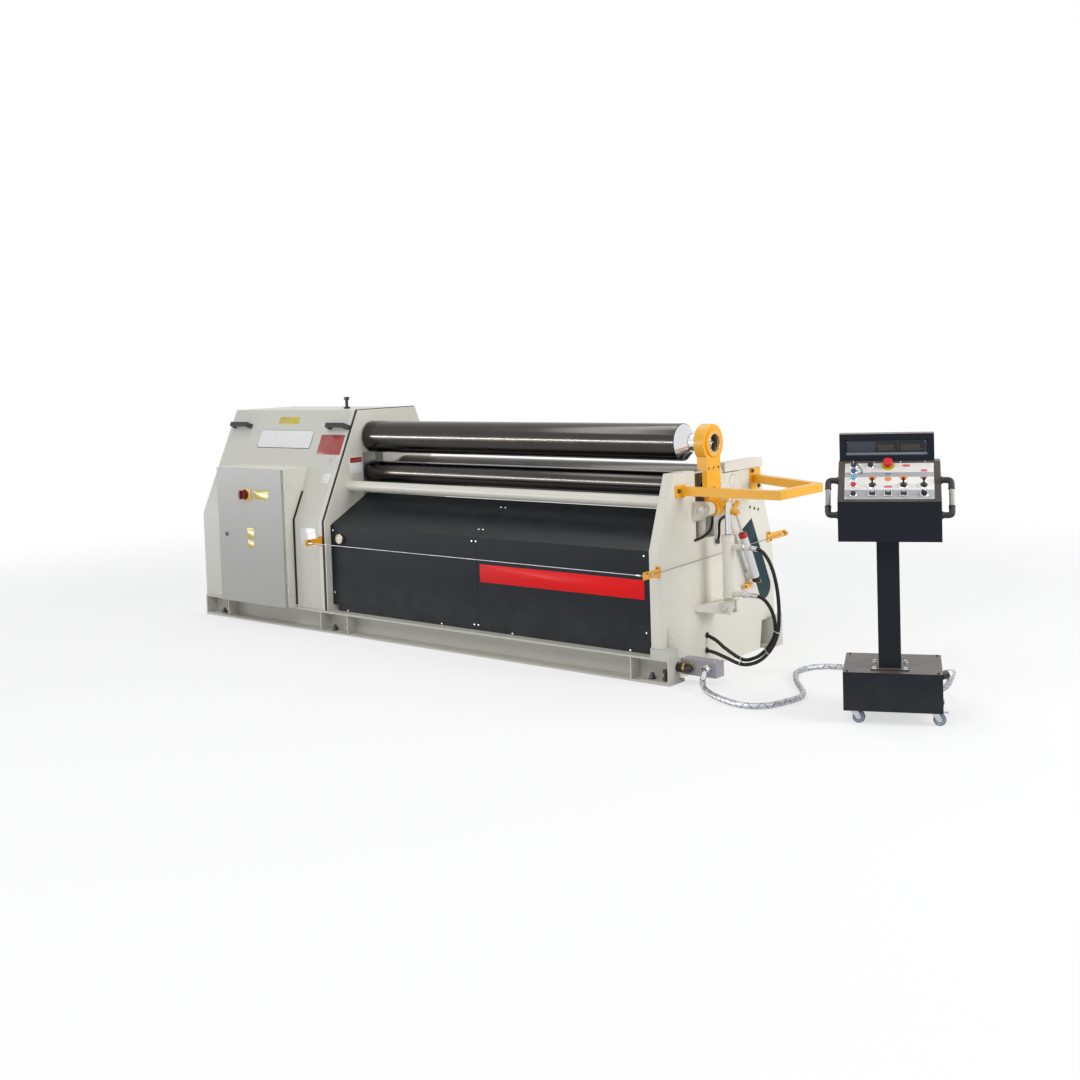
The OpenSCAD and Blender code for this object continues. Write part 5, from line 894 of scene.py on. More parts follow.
def number(name, text, size, material, place):
    """Plain raised numerals."""
    curve = bpy.data.curves.new(name, "FONT")
    curve.body = text
    curve.size = size
    curve.extrude = 0.12
    curve.align_x = "CENTER"
    curve.align_y = "CENTER"
    passing = bpy.data.objects.new(name + "_text", curve)
    bpy.context.scene.collection.objects.link(passing)
    bpy.context.view_layer.update()
    mesh = bpy.data.meshes.new_from_object(passing.evaluated_get(bpy.context.evaluated_depsgraph_get()))
    bpy.data.objects.remove(passing)
    mesh.transform(Matrix.Scale(MM, 4) @ place)
    mesh.materials.clear()
    mesh.materials.append(material)
    made = bpy.data.objects.new(name, mesh)
    bpy.context.scene.collection.objects.link(made)
    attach(made, "machine")


class MACHINE_OT_cover_trim(Operator):
    """Adds the red band, screws and the detailed pressure gauge to the lower covers"""
    bl_idname = "machine.cover_trim"
    bl_label = "Cover trim"

    def execute(self, context):
        zinc, = shared("screw")
        front = box_mm("covers")[0].y
        trim = Assembly("cover_trim")
        stripe = painted("stripe red film", context.scene.machine_paints.stripe_red, 0.32, mottle=0.02, dust=0.05,
                         wear=0.0, gloss=0.12)
        trim.add(sheet(1013, 91, 2, 0.6, 0.2), stripe, (1021.5, front, 415.5), FRONT)
        for x, z in ((-579, 570), (-584, 221), (-482, 126), (236, 126), (720, 126), (1440, 126), (1534, 217),
                     (1531, 573), (466, 575), (494, 575), (466, 146), (494, 146)):
            trim.add(pan_head(12), zinc, (x, front, z), FRONT)
        run, rise, fold = 296.0, 156.0, 597
        out = Vector((0, -rise, run)).normalized()
        for x in (466, 494):
            for along in (0.2, 0.8):
                trim.add(pan_head(12), zinc, Vector((x, front + run * along, fold + rise * along)) + out * 0.1, out)
        trim.finish()

        low, middle, high = box_mm("pressure_gauge")
        depth = high.y - low.y
        face = facing((middle.x, high.y, middle.z), FRONT)
        dial = face @ moved(0, 0, depth - 5)
        ink = moulded("dial ink", (0.02, 0.02, 0.02), 0.6)
        first, sweep, marks, numbers = 225, 270, 30, 6
        gauge = Assembly("gauge")
        gauge.add(turned([(0, 0), (27, 0), (28, 1), (28, depth - 4), (27.2, depth - 1.5), (25.6, depth), (24, depth),
                          (23.4, depth - 1.2), (23.4, depth - 5), (0, depth - 5)], 48),
                  bare_metal("gauge brass rim", (0.62, 0.50, 0.33), 0.25, (60, 60, 60)), face)
        gauge.add(disc(23.4, 0.6, 48), label_film("gauge white", (0.82, 0.82, 0.80)), dial)
        for i in range(marks + 1):
            long, wide = (2.2, 0.5) if i % (marks // numbers) else (4.2, 0.9)
            gauge.add(block(long, wide, 0.25, 0), ink,
                      dial @ spun(math.radians(first - i * sweep / marks)) @ moved(22 - long / 2, 0, 0.6))
        gauge.add(plate([(-6, -1.4), (17, -0.3), (17, 0.3), (-6, 1.4)], 0.4), ink,
                  dial @ spun(math.radians(205)) @ moved(0, 0, 1.4))
        gauge.add(turned([(0, 0.5), (3, 0.5), (3, 2), (2, 2.6), (0, 2.6)], 20), zinc, dial)
        gauge.finish(38, ("pressure_gauge",))
        for i in range(numbers + 1):
            turn = math.radians(first - i * sweep / numbers)
            number(f"gauge_number_{i}", str(i), 4.2, ink,
                   dial @ moved(14.5 * math.cos(turn), 14.5 * math.sin(turn), 0.7))
        return {"FINISHED"}


class MACHINE_OT_base_trim(Operator):
    """Adds the anchor bolts with their washers, and the holes of the drop-side frame"""
    bl_idname = "machine.base_trim"
    bl_label = "Base and frame trim"

    def execute(self, context):
        black, cream = shared("bolt", "cream")
        dark = moulded("hole shadow", (0.015, 0.014, 0.013), 0.9)
        bolts = Assembly("anchor_bolts")
        for x in (-1570, -577, 1570):
            for y in (-475, 475):
                bolts.add(turned([(0, 0), (19, 0), (19, 3), (15, 3, 6), (15, 15, 6), (13.5, 17), (9, 17), (9, 27),
                                  (8, 28), (0, 28)]), black, (x, y, 14), TOP)
        bolts.finish()
        frames = Assembly("frame_bolts")
        right = box_mm("drop_side_frame")[0].x + 55
        # Dark discs of painted shade stand in for the holes; the first three have cream rims.
        for y, z in ((300, 722), (340, 712), (378, 703)):
            frames.add(disc(7.5, 0.5), dark, (right, y, z), DROP)
            frames.add(turned([(7.5, 0), (9.6, 0), (9.0, 1.0), (7.5, 1.0)]), cream, (right, y, z), DROP)
        for y in (-300, 30, 360):
            frames.add(disc(6, 0.4, 20), dark, (right, y, 866), DROP)
        frames.finish()
        return {"FINISHED"}


class MACHINE_OT_roll_ends(Operator):
    """Adds the end faces, seals, bearing cover, slide plate and bush at the ends of the rolls"""
    bl_idname = "machine.roll_ends"
    bl_label = "Roll ends"

    def execute(self, context):
        bright = bare_metal("turned end steel", (0.66, 0.66, 0.67), 0.2, (400, 40, 40), 0.12)
        dark, cream, teal = shared("oil seal", "cream", "teal")
        nose = box_mm("top_roll")[2].x
        end = Assembly("top_roll_end", "top_roll")
        face = facing((nose, ROLL_Y, ROLL_Z), DROP)
        end.add(turned([(28, -0.5), (29, 0), (29, 5), (27, 6.5), (13, 6.5), (12, 5), (6, 5), (3, 1), (0, 1)], 48),
                bright, face)
        for i in range(3):
            end.add(socket_head(6, 3), bright, face @ spun(math.tau * i / 3) @ moved(20, 0, 6.4))
        end.finish()
        seal = Assembly("eye_seal", "drop_end")
        seal.add(turned([(31.5, 0), (42.8, 0), (42.8, 10), (40, 11), (33, 9), (31.5, 8)], 48), dark,
                 (nose + 6, ROLL_Y, ROLL_Z), DROP)
        seal.add(turned([(42.9, 0), (47, 0), (47, 1.5), (46, 2.4), (42.9, 2.4)], 48), bright,
                 (EYE_BOSS_FACE, ROLL_Y, ROLL_Z), DROP)
        seal.finish()
        _, rear, rear_high = box_mm("rear_roll")
        cover = Assembly("rear_bearing_cover", "rear_roll_carriage")
        cover.add(turned([(0, 0), (29.5, 0), (29.5, 2.6), (28.5, 3.4), (0, 3.4)], 48), cream,
                  (rear_high.x, rear.y, rear.z), DROP)
        cover.finish()
        slide = Assembly("rear_slide_plate", "rear_roll_carriage")
        slide.add(sheet(116, 104, 2, 1.6, 0.3), teal, (1643, 281.2, 593.5), DROP, SENSOR_ALONG)
        slide.finish()
        bush = Assembly("roll_bushes")
        bush.add(turned([(44, 0), (70, 0), (70, 5), (68, 7), (46, 7), (44, 5)], 48), bright,
                 (INNER_FACE, ROLL_Y, ROLL_Z), DROP)
        bush.finish()
        return {"FINISHED"}


class MACHINE_OT_drop_end_trim(Operator):
    """Adds the screws, pin ends, cables and cylinder fittings of the drop end"""
    bl_idname = "machine.drop_end_trim"
    bl_label = "Drop end trim"

    def execute(self, context):
        black, zinc, cream, yellow, dark = shared("bolt", "screw", "cream", "yellow", "oil seal")
        rubber = hose_rubber("hose rubber")
        stem = Assembly("stem_bolts", "drop_end")
        for y in (-157, -115, -73):
            place = facing((EYE_FACE, y, 955), DROP)
            stem.add(turned([(6.5, 0), (12, 0), (12, 0.6), (11, 1.2), (6.5, 1.2)], 32), yellow, place)
            stem.add(turned([(0, 0.2), (9.8, 0.2), (9.8, 0.8), (5.6, 0.8, 6), (5.4, 0.4, 6), (0, 0.4)]), black, place)
        stem.add(socket_head(13, 4), black, (EYE_FACE, ROLL_Y, 860), DROP)
        for side in (-1, 1):
            stem.add(turned([(0, 0), (8, 0), (8, 1.2), (3, 1.2, 6), (3, 0.5, 6), (0, 0.5)]), zinc,
                     (RAM_X, ROLL_Y + side * 33, 812), (0, side, 0))
        stem.finish()

        pins = Assembly("hinge_pin_ends")
        for y, out in ((-263, FRONT), (-17, REAR)):
            pins.add(turned([(0, 0), (16, 0), (16, 2), (14.5, 3), (6, 3), (5, 2), (0, 2)], 40), zinc,
                     (HINGE_X, y, HINGE_Z), out)
        pins.add(turned([(17.5, 0), (24, 0), (24, 3), (22.5, 4), (17.5, 4)], 40), cream,
                 (HINGE_X, -257, HINGE_Z), FRONT)
        for route in (((1672, -92, 838), (1674, -92, 800), (1672, -90, 740), (1668, -90, 690), (1662, -100, 655),
                       (1652, -135, 632), (1648, -190, 622), (1646, -213, 620)),
                      ((1668, 25, 706), (1666, 10, 703), (1664, -12, 692), (1662, -18, 668), (1662, -20, 630),
                       (1658, -25, 600))):
            pins.add(swept(smooth_route(route, 6), 6.5, 12), rubber)
        pins.add(turned([(0, 0), (9, 0), (10, 2, 6), (10, 14, 6), (8, 16), (8, 30), (0, 32)]), black,
                 (1672, -92, 836), TOP)
        pins.add(turned([(0, 0), (9.5, 0), (9.5, 16), (7, 20), (0, 20)]), black, (1658, -25, 602), (0, -0.1, -1))
        pins.add(turned([(0, 0), (10, 0), (10, 22), (8, 25), (0, 25)]), black, (1668, 24, 706), (0.1, 0.95, 0.3))
        for side, out in ((-1, FRONT), (1, REAR)):
            pins.add(turned([(0, 0), (17, 0), (17, 4), (15.5, 5.5), (9, 5.5), (8, 4.5), (0, 4.5)], 40), zinc,
                     (RAM_X, ROLL_Y + side * 46, 304), out)
        for y, z in ((-344, 865), (316, 902), (374, 824)):
            pins.add(disc(11, 1.5), black, (GUARD_PLATE_FACE, y, z), DROP)
            pins.add(socket_head(16, 8), black, (GUARD_PLATE_FACE, y, z), DROP)
        for place, out in (((1640, -511, 532), FRONT), ((1640, -511, 496), FRONT),
                           ((1651, 470, 571), DROP), ((1651, 486, 535), DROP)):
            pins.add(socket_head(9, 5), black, place, out)
        pins.finish()

        ram = Assembly("cylinder_head")
        up = facing((RAM_X, ROLL_Y, 637), TOP)
        ram.add(turned([(28.2, -30), (30, -29), (30, -2), (29, 0.5), (24, 1), (24, 5), (17, 7), (12.6, 7),
                        (12.6, -2)], 40), cream, up)
        ram.add(turned([(12.5, 6), (15, 6), (15, 9), (12.9, 9.5)], 32), dark, up)
        for z in (368, 588):
            ram.add(turned([(14, 0), (18, 0, 6), (18, 12, 6), (14.5, 13.5), (14, 13.5)]), zinc, (1845, ROLL_Y, z), DROP)
        ram.add(turned([(28.2, 0), (30, 1), (30, 14), (28.2, 15)], 40), cream, (RAM_X, ROLL_Y, 349), TOP)
        ram.finish()
        return {"FINISHED"}


class MACHINE_OT_sensor_trim(Operator):
    """Adds the cap, ribs, connector and brackets of the position sensor"""
    bl_idname = "machine.sensor_trim"
    bl_label = "Sensor trim"

    def execute(self, context):
        black, brass, metal, yellow = shared("plastic", "brass", "aluminium", "yellow")
        along, top = Vector(SENSOR_ALONG), Vector(SENSOR_TOP)
        body = Assembly("sensor_trim")
        head = facing(top, along, DROP)
        body.add(turned([(20.2, -16), (21.6, -15), (21.6, 1), (19.5, 4.5), (12, 5), (9, 5), (9, 0.2), (20, 0.2)], 40),
                 moulded("sensor red cap", (0.50, 0.02, 0.03), 0.35), head)
        for i in range(8):
            body.add(block(2.4, 3.2, 206, 0.8), metal, head @ spun(math.tau * (i + 0.5) / 8) @ moved(20.2, 0, -238))
        body.add(turned([(20.2, 0), (21.4, 1), (21.4, 19), (20.2, 20)], 40), black, head @ moved(0, 0, -268))
        low = top - along * 268
        body.add(turned([(0, 0), (19, 0), (19, 5), (12, 8), (0, 8)], 32), black, low, -along)
        plug = facing(low - along * 3 + Vector((0, 6, 0)), (0, 0.9, -0.42))
        body.add(turned([(0, 0), (9, 0), (9, 14), (11, 15, 8), (11, 24, 8), (8, 26), (8, 40), (6, 46), (4, 47),
                         (4, 56), (0, 56)]), black, plug)
        body.add(turned([(9.2, 15), (12.4, 15, 6), (12.4, 20, 6), (9.2, 20)]), brass, plug)
        body.add(block(6, 62, 22, 1.0), yellow, (1664, 226, 330), TOP)
        body.add(block(36, 20, 5, 1.0), yellow, (1668, 242, 352), TOP)
        body.add(socket_head(9, 5), black, (1667, 205, 341), DROP)
        body.finish()
        return {"FINISHED"}


class MACHINE_OT_trip_trim(Operator):
    """Adds the nuts, screws and end fittings of the trip wire"""
    bl_idname = "machine.trip_trim"
    bl_label = "Trip wire trim"

    def execute(self, context):
        black, zinc = shared("bolt", "screw")
        trim = Assembly("trip_fittings")
        for x, y, z in ((-640, -600, 512), (1649, -625, 514), (1649, 630, 553)):
            for side in (-1, 1):
                trim.add(hex_head(8, 3.5), black, (x + side * 4, y + (12 if y < 0 else -12), z + 9), (side, 0, 0))
        for z in (531, 493):
            trim.add(socket_head(9, 5), black, (-640, -506, z), FRONT)
        for tip, along in (((-620, -601, 512), DROP), ((1625, -624.5, 514), DRIVE), ((1660, -600, 515), REAR),
                           ((1660, 600, 552), FRONT)):
            trim.add(turned([(2.1, 0), (4.4, 0), (4.4, 5, 6), (4.4, 11, 6), (3.6, 12), (3.6, 24), (2.1, 25)]), zinc,
                     tip, along)
        trim.finish()
        return {"FINISHED"}


class MACHINE_OT_box_trim(Operator):
    """Adds the lid, screws and glands of the junction box"""
    bl_idname = "machine.box_trim"
    bl_label = "Junction box trim"

    def execute(self, context):
        zinc, brass, black, grey = shared("screw", "brass", "plastic", "box")
        trim = Assembly("junction_trim")
        for x in (1702, 1863):
            for y in (-408, -362):
                trim.add(pan_head(10), zinc, (x, y, 112), TOP)
        trim.add(block(178, 63, 1.2, 0.5), grey, facing((1782.5, -385, 111.4), TOP, DROP) @ spun(math.pi / 2))
        trim.add(turned([(19.2, 0), (23, 0, 6), (23, 9, 6), (21, 11), (19.2, 11)]), brass, (1722, -443, 77), DROP)
        trim.add(turned([(16.2, 0), (21, 0, 6), (21, 7, 6), (16.2, 8)]), brass, (1745, -421, 77), FRONT)
        trim.add(turned([(19.2, 0), (22, 0), (22, 5), (19.2, 6)], 32), black, (1690.5, -443, 77), DROP)
        trim.finish()
        return {"FINISHED"}


# ---------- control desk ----------

class MACHINE_OT_desk_panel(Operator):
    """Adds the overlay, buttons, joysticks and selectors of the desk's sloping panel"""
    bl_idname = "machine.desk_panel"
    bl_label = "Desk panel"

    def execute(self, context):
        black, zinc, yellow, stop_red = shared("plastic", "screw", "film", "stop red")
        chrome = bare_metal("bezel chrome", (0.74, 0.75, 0.78), 0.12, (60, 60, 60), 0.08)
        panel = Assembly("panel_overlay")
        panel.add(sheet(342, 196, 3, OVERLAY, 0.3), overlay_print("overlay print"), on_panel(0, 112))
        for x in (-166, 166):
            for along in (19, 205):
                panel.add(pan_head(6), zinc, on_panel(x, along, OVERLAY))
        for x in (-57, 45, 140):
            panel.add(socket_head(7, 3), zinc, on_panel(x, 217))
        # Coloured marks: place across and up the panel, ink, width and height.
        inks = {"orange": (0.80, 0.24, 0.05), "pink": (0.62, 0.12, 0.13), "blue": (0.12, 0.22, 0.42)}
        for x, along, kind, w, h in ((-64, 128, "orange", 30, 24), (-4, 122, "orange", 28, 24),
                                     (55, 128, "orange", 30, 24), (66, 196, "pink", 30, 13),
                                     (134, 168, "pink", 26, 12), (131, 128, "pink", 28, 10),
                                     (-4, 80, "pink", 32, 11), (-4, 150, "blue", 22, 12)):
            panel.add(sheet(w, h, h / 2 - 0.1, 0.25), label_film(f"{kind} print", inks[kind]), on_panel(x, along, OVERLAY))
        panel.add(turned([(10, 0), (26, 0), (26, 1.4), (10, 1.4)], 48), yellow, on_panel(-4, 196, OVERLAY))
        panel.finish()

        buttons = Assembly("panel_buttons")
        caps = {"black": black, "blue": moulded("button blue", (0.03, 0.10, 0.26), 0.3),
                "cyan": moulded("button cyan", (0.07, 0.42, 0.50), 0.3),
                "red": moulded("button red", (0.50, 0.03, 0.05), 0.3)}
        white = moulded("button white", (0.72, 0.72, 0.72), 0.3)
        for x, along, cap in ((-137, 196, "black"), (-137, 164, "blue"), (-137, 126, "cyan"), (-137, 89, "red"),
                              (-137, 39, "black"), (-72, 196, "black")):
            buttons.add(turned([(0, 0), (14.5, 0), (14.5, 2.2), (13, 4), (11, 4), (11, 2.5), (0, 2.5)], 32), chrome,
                        on_panel(x, along, OVERLAY))
            buttons.add(turned([(0, 0), (10.6, 0), (10.6, 6.4), (9.6, 7.6), (7, 7.9), (0, 7.4)], 32), caps[cap],
                        on_panel(x, along, 3.5))
        # Key switch with its bent stay.
        buttons.add(block(3, 14, 17, 1.0), chrome, on_panel(-137, 196, 10.5))
        stay = [(-137, 200, 22), (-133, 192, 28), (-122, 180, 25), (-107, 166, 12), (-104, 160, 5), (-110, 152, 2.6)]
        buttons.add(swept([on_panel(*point).translation for point in smooth_route(stay, 5)], 2.0, 8), black)
        # Joysticks.
        for x in (-64, 55, 132):
            buttons.add(turned([(0, 0), (17, 0), (17, 2.5), (15, 4), (0, 4)], 32), chrome, on_panel(x, 85, OVERLAY))
            buttons.add(turned([(0, 4), (13.5, 4), (12.5, 6.5), (10, 8.5), (9.5, 11), (7, 13.5), (4.5, 15), (3.4, 18),
                                (3.2, 30), (5, 32), (6.6, 36), (6.6, 41), (5, 44.5), (0, 45.5)], 32), black,
                        on_panel(x, 85, OVERLAY))
        # Rockers, and the selector beside them.
        tip = spun(math.radians(9), "X")
        for x in (-64, -4, 55):
            buttons.add(block(30, 24, 5, 1.2), chrome, on_panel(x, 39, OVERLAY))
            buttons.add(block(24, 18, 7, 1.6), black, on_panel(x, 39, 4) @ tip)
            buttons.add(sheet(13, 2.2, 1, 0.3), white, on_panel(x, 43, 12.2) @ tip)
        buttons.add(turned([(0, 0), (16, 0), (16, 2.5), (14.5, 4), (0, 4)], 32), chrome, on_panel(132, 39, OVERLAY))
        buttons.add(turned([(0, 4), (12, 4), (12, 8), (10.5, 9.5), (0, 9.5)]), black, on_panel(132, 39, OVERLAY))
        buttons.add(block(6, 24, 9, 1.8), black, on_panel(132, 39, 10) @ spun(math.radians(35)))
        buttons.finish()

        stop = Assembly("stop_button_cap", "stop_button")
        stop.add(turned([(18.6, 16.2), (19, 18), (19.1, 22), (18, 26), (15, 28.6), (9, 29.3), (4, 28.7), (0, 28.6)],
                        48), stop_red, on_panel(-4, 196))
        stop.finish(50)
        return {"FINISHED"}


class MACHINE_OT_desk_display(Operator):
    """Adds the sunk display windows of the desk"""
    bl_idname = "machine.desk_display"
    bl_label = "Desk display"

    def execute(self, context):
        black = moulded("window bezel", (0.006, 0.006, 0.006), 0.25)
        glass = moulded("smoked window", (0.012, 0.011, 0.006), 0.08, bump=0.0, dust=0.02, coat=0.6)
        slate = painted("display plate paint", (0.022, 0.030, 0.045), 0.4, dust=0.05, wear=0.1)
        painted_highlight = painted("painted highlight paint", (0.16, 0.19, 0.23), 0.3, dust=0.05, wear=0.1)
        zinc, = shared("screw")
        display = Assembly("desk_display", base=DESK)
        back = 162
        display.add(block(318, 60, 1.0, 0.4), slate, (-9, back, 1092), FRONT)
        # A paler strip along the lower edge of the display plate is a painted highlight.
        display.add(block(318, 2.2, 10, 0.6), painted_highlight, (-9, 156.5, 1061.4), TOP)
        for x, w in ((-10, 84), (86, 96)):
            display.add(sheet(w, 46, 2, 5, 1.0), black, (x, back - 1, 1091), FRONT)
            display.add(sheet(w - 24, 26, 1, 1.0, 0.3), glass, (x - 3, back - 6, 1091), FRONT)
            # Small squares on each bezel take the same painted highlight colour.
            display.add(sheet(3, 3, 0.8, 0.6), painted_highlight, (x + w / 2 - 8, back - 6, 1085), FRONT)
        for x in (-160, 142):
            for z in (1070, 1115):
                display.add(pan_head(5), zinc, (x, back - 1, z), FRONT)
        display.finish()
        return {"FINISHED"}


class MACHINE_OT_desk_handles(Operator):
    """Builds the two side handles: grey tubes in black elbow sockets"""
    bl_idname = "machine.desk_handles"
    bl_label = "Desk handles"

    def execute(self, context):
        black = moulded("handle black plastic", (0.014, 0.014, 0.015))
        grey = painted("handle grey tube", (0.30, 0.285, 0.26), 0.35, dust=0.05, wear=0.1)
        handles = Assembly("side_handles", base=DESK)
        for side in (-1, 1):
            x, out = side * DESK_SIDE, side * 38
            top, low = Vector((x + out, 62, 968)), Vector((x + out, 0, 838))
            down = (low - top).normalized()
            handles.add(swept([top + down * 20, low - down * 20], 10.2, 24), grey)
            for end, towards in ((top, down), (low, -down)):
                bend = [Vector((x + side * away, end.y, end.z)) for away in (0, 12, 25)]
                bend.append(end - Vector((side * 3.5, 0, 0)) + towards * 3.5)
                bend += [end + towards * away for away in (14, 24, 34)]
                handles.add(swept(smooth_route(bend, 6), 12.2, 24), black)
                handles.add(turned([(10.5, -2), (13.0, -2), (13.0, 3), (11.8, 4.5), (10.5, 4.5)]), black,
                            end + towards * 34, towards)
                handles.add(turned([(0, 0), (15.5, 0), (15.5, 3), (13.5, 6), (0, 6)]), black,
                            (x, end.y, end.z), (side, 0, 0))
        handles.finish(50, ("desk_handles",))
        return {"FINISHED"}


class MACHINE_OT_casters(Operator):
    """Builds the four caster wheels and the nuts of their axles"""
    bl_idname = "machine.casters"
    bl_label = "Casters"

    def execute(self, context):
        tread, zinc = shared("tread", "zinc plate")
        hub = moulded("caster hub grey", (0.42, 0.46, 0.52), 0.35)
        along = DESK.to_3x3() @ Vector((0, -1, 0))
        for i in range(1, 5):
            centre = box_mm(f"caster_wheel_{i}")[1]
            place = facing(centre, along)
            wheel = Assembly(f"wheel_{i}", f"wheel_{i}")
            wheel.add(turned([(19, -9.5), (22.5, -9.4), (24.4, -7.5), (25, -4.5), (25, 4.5), (24.4, 7.5), (22.5, 9.4),
                              (19, 9.5)], 48), tread, place)
            wheel.add(turned([(4.6, -9.5), (8, -9.5), (9, -6), (15, -5.5), (17, -9), (19.2, -9.4), (19.2, 9.4), (17, 9),
                              (15, 5.5), (9, 6), (8, 9.5), (4.6, 9.5)], 48), hub, place)
            for k in range(6):
                for side in (-1, 1):
                    wheel.add(block(7.5, 2.2, 2.5, 0.4), hub,
                              place @ spun(math.tau * k / 6) @ moved(12, 0, side * 7 - 1.25))
            wheel.finish(40, (f"caster_wheel_{i}",))
            nuts = Assembly(f"caster_nuts_{i}", f"caster_{i}")
            for side in (-1, 1):
                nuts.add(hex_head(11, 3.6), zinc, centre + along * side * 13.6, along * side)
            nuts.finish()
        return {"FINISHED"}


class MACHINE_OT_desk_trim(Operator):
    """Adds the screws and the column's foot plate of the desk"""
    bl_idname = "machine.desk_trim"
    bl_label = "Desk trim"

    def execute(self, context):
        zinc, black, desk = shared("screw", "plastic", "desk")
        trim = Assembly("desk_trim", base=DESK)
        for x in (-175, 175):
            for y in (20, 330):
                trim.add(socket_head(10, 4), black, (x, y, FOOT_TOP), TOP)
        for x in (-170, 0, 170):
            for z in (915, 1020):
                trim.add(pan_head(9), zinc, (x, 250, z), REAR)
        for y, z in ((40, 760), (160, 760), (90, 860), (200, 980)):
            for side in (-1, 1):
                trim.add(pan_head(9), zinc, (side * DESK_SIDE, y, z), (side, 0, 0))
        column_x, column_y = -10, 120
        for dx, dy in ((-60, -60), (60, -60), (-60, 60), (60, 60)):
            trim.add(hex_head(13, 8, 20), zinc, (column_x + dx, column_y + dy, FOOT_TOP + 4), TOP)
        trim.add(sheet(150, 150, 6, 4, 1.0), desk, (column_x, column_y, FOOT_TOP), TOP)
        trim.finish()
        return {"FINISHED"}


# ---------- stage ----------

def seen_rays(tree):
    """Masks the rays that show a surface: straight, in a reflection or through glass."""
    rays = node(tree, "ShaderNodeLightPath").outputs
    mirrored = maths(tree, "MAXIMUM", rays["Is Glossy Ray"], rays["Is Transmission Ray"])
    return maths(tree, "MAXIMUM", rays["Is Camera Ray"], mirrored)


@finish_once
def floor_white(tree, colour):
    """White floor that keeps the shadows near the machine and fades into the background."""
    dress(tree, {"Base Color": (*colour, 1), "Roughness": 0.9, "Specular IOR Level": 0.0})
    near, far, least = 2.2, 6.0, 0.62
    away = vectors(tree, "LENGTH", object_place(tree))["Value"]
    fade = ranged(tree, away, {"From Min": near, "From Max": far, "To Min": least, "To Max": 1.0},
                  interpolation_type="SMOOTHSTEP")
    mix = node(tree, "ShaderNodeMixShader", {0: maths(tree, "MULTIPLY", seen_rays(tree), fade),
                                             1: tree.nodes["Principled BSDF"].outputs[0],
                                             2: node(tree, "ShaderNodeEmission").outputs[0]})
    give(tree, tree.nodes["Material Output"].inputs, {"Surface": mix.outputs[0]})


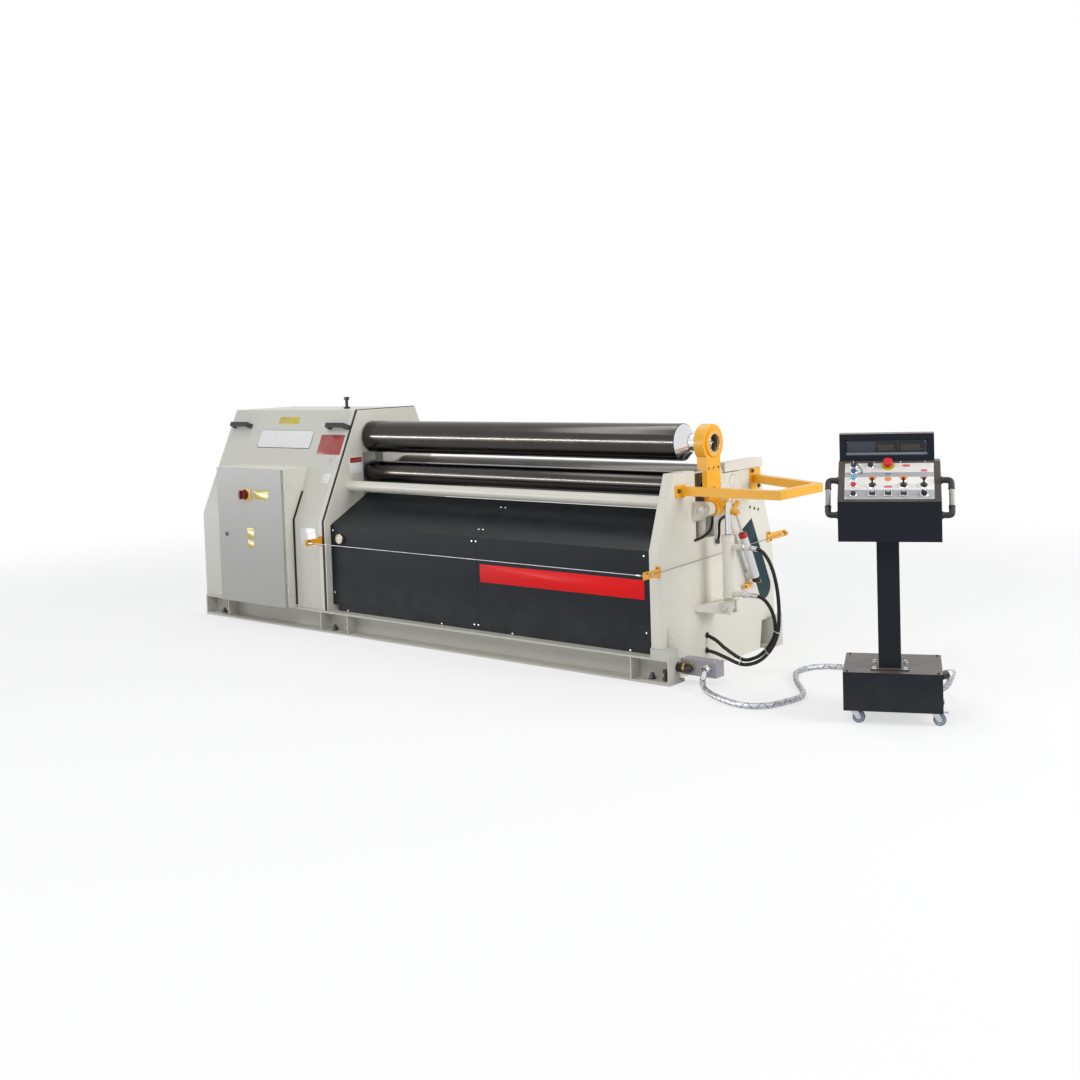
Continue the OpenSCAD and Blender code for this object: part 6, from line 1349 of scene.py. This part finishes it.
class MACHINE_OT_stage(Operator):
    """Sets the floor, lamps, world and camera"""
    bl_idname = "machine.stage"
    bl_label = "Stage"

    def execute(self, context):
        scene = context.scene
        settings = scene.machine_stage
        half = 30.0
        mesh = bpy.data.meshes.new("stage_floor")
        mesh.from_pydata([(-half, -half, 0), (half, -half, 0), (half, half, 0), (-half, half, 0)], [], [(0, 1, 2, 3)])
        mesh.materials.append(floor_white("floor white", settings.floor_colour))
        floor = bpy.data.objects.new("stage_floor", mesh)
        scene.collection.objects.link(floor)

        scene.world = bpy.data.worlds.new("studio")
        scene.world.use_nodes = True
        tree = scene.world.node_tree
        tree.nodes.clear()
        light = node(tree, "ShaderNodeBackground", {"Color": (0.95, 0.97, 1.0, 1), "Strength": 0.42})
        shown = node(tree, "ShaderNodeBackground", {"Color": (1, 1, 1, 1), "Strength": 1.0})
        mix = node(tree, "ShaderNodeMixShader", {0: seen_rays(tree), 1: light.outputs[0], 2: shown.outputs[0]})
        node(tree, "ShaderNodeOutputWorld", {0: mix.outputs[0]})

        def lamp(name, place, target, width, depth, power, diffuse=True):
            data = bpy.data.lights.new(name, "AREA")
            data.shape = "RECTANGLE"
            data.size, data.size_y, data.energy = width, depth, power
            made = bpy.data.objects.new(name, data)
            made.location = place
            made.visible_diffuse = diffuse
            made.rotation_euler = (Vector(target) - Vector(place)).to_track_quat("-Z", "Y").to_euler()
            scene.collection.objects.link(made)

        lamp("key lamp", (2.2, -5.5, 5.0), (0.3, 0, 0.6), 5.0, 2.0, 150)
        lamp("strip lamp", (-4.4, -4.6, 1.34), (0.0, 0, 1.2), 6.5, 0.24, 240, diffuse=False)
        lamp("roll panel lamp", (-4.5, -4.7, 1.1), (0.0, 0, 1.1), 6.5, 1.5, 60, diffuse=False)
        lamp("top lamp", (-1.8, 0.4, 5.6), (-0.4, 0, 0.6), 9.0, 0.9, 115)
        lamp("side lamp", (7.5, 0.5, 3.0), (1.5, 0, 0.6), 3.0, 3.0, 240)

        camera = bpy.data.cameras.new("machine camera")
        camera.sensor_width, camera.lens, camera.shift_y, camera.clip_end = 36.0, 44.52, -0.105, 200
        made = bpy.data.objects.new("machine camera", camera)
        turn, dip, roll = settings.camera_turn, settings.camera_dip, settings.camera_roll
        forward = Vector((-math.sin(turn) * math.cos(dip), math.cos(turn) * math.cos(dip), -math.sin(dip)))
        right = Vector((math.cos(turn), math.sin(turn), 0))
        up = right.cross(forward)
        across = right * math.cos(roll) + up * math.sin(roll)
        upward = -right * math.sin(roll) + up * math.cos(roll)
        place = Matrix.Translation((settings.camera_x, settings.camera_y, settings.eye_height))
        made.matrix_world = place @ Matrix((across, upward, -forward)).transposed().to_4x4()
        scene.collection.objects.link(made)
        scene.camera = made
        scene.view_settings.view_transform = "Standard"
        return {"FINISHED"}


class MACHINE_PT_panel(Panel):
    """Lists the operators that build the machine's finishes and small parts"""
    bl_label = "Bending machine"
    bl_idname = "MACHINE_PT_panel"
    bl_space_type = "VIEW_3D"
    bl_region_type = "UI"
    bl_category = "Bending machine"

    def draw(self, context):
        for operator in OPERATORS:
            self.layout.operator(operator.bl_idname)
        for name in ("machine_paints", "machine_stage"):
            group = getattr(context.scene, name)
            for key in group.__annotations__:
                self.layout.prop(group, key)


OPERATORS = (MACHINE_OT_stage, MACHINE_OT_hoses, MACHINE_OT_conduit, MACHINE_OT_finishes, MACHINE_OT_housing_trim,
             MACHINE_OT_cabinet_trim, MACHINE_OT_cover_trim, MACHINE_OT_base_trim, MACHINE_OT_roll_ends,
             MACHINE_OT_drop_end_trim, MACHINE_OT_sensor_trim, MACHINE_OT_trip_trim, MACHINE_OT_box_trim,
             MACHINE_OT_desk_panel, MACHINE_OT_desk_display, MACHINE_OT_desk_handles, MACHINE_OT_casters,
             MACHINE_OT_desk_trim)
CLASSES = (PaintSettings, StageSettings) + OPERATORS + (MACHINE_PT_panel,)


def register():
    for made in CLASSES:
        bpy.utils.register_class(made)
    bpy.types.Scene.machine_paints = PointerProperty(type=PaintSettings)
    bpy.types.Scene.machine_stage = PointerProperty(type=StageSettings)


def unregister():
    del bpy.types.Scene.machine_paints
    del bpy.types.Scene.machine_stage
    for made in reversed(CLASSES):
        bpy.utils.unregister_class(made)


def main():
    register()
    for operator in OPERATORS:
        group, call = operator.bl_idname.split(".")
        getattr(getattr(bpy.ops, group), call)()


if __name__ == "__main__":
    main()
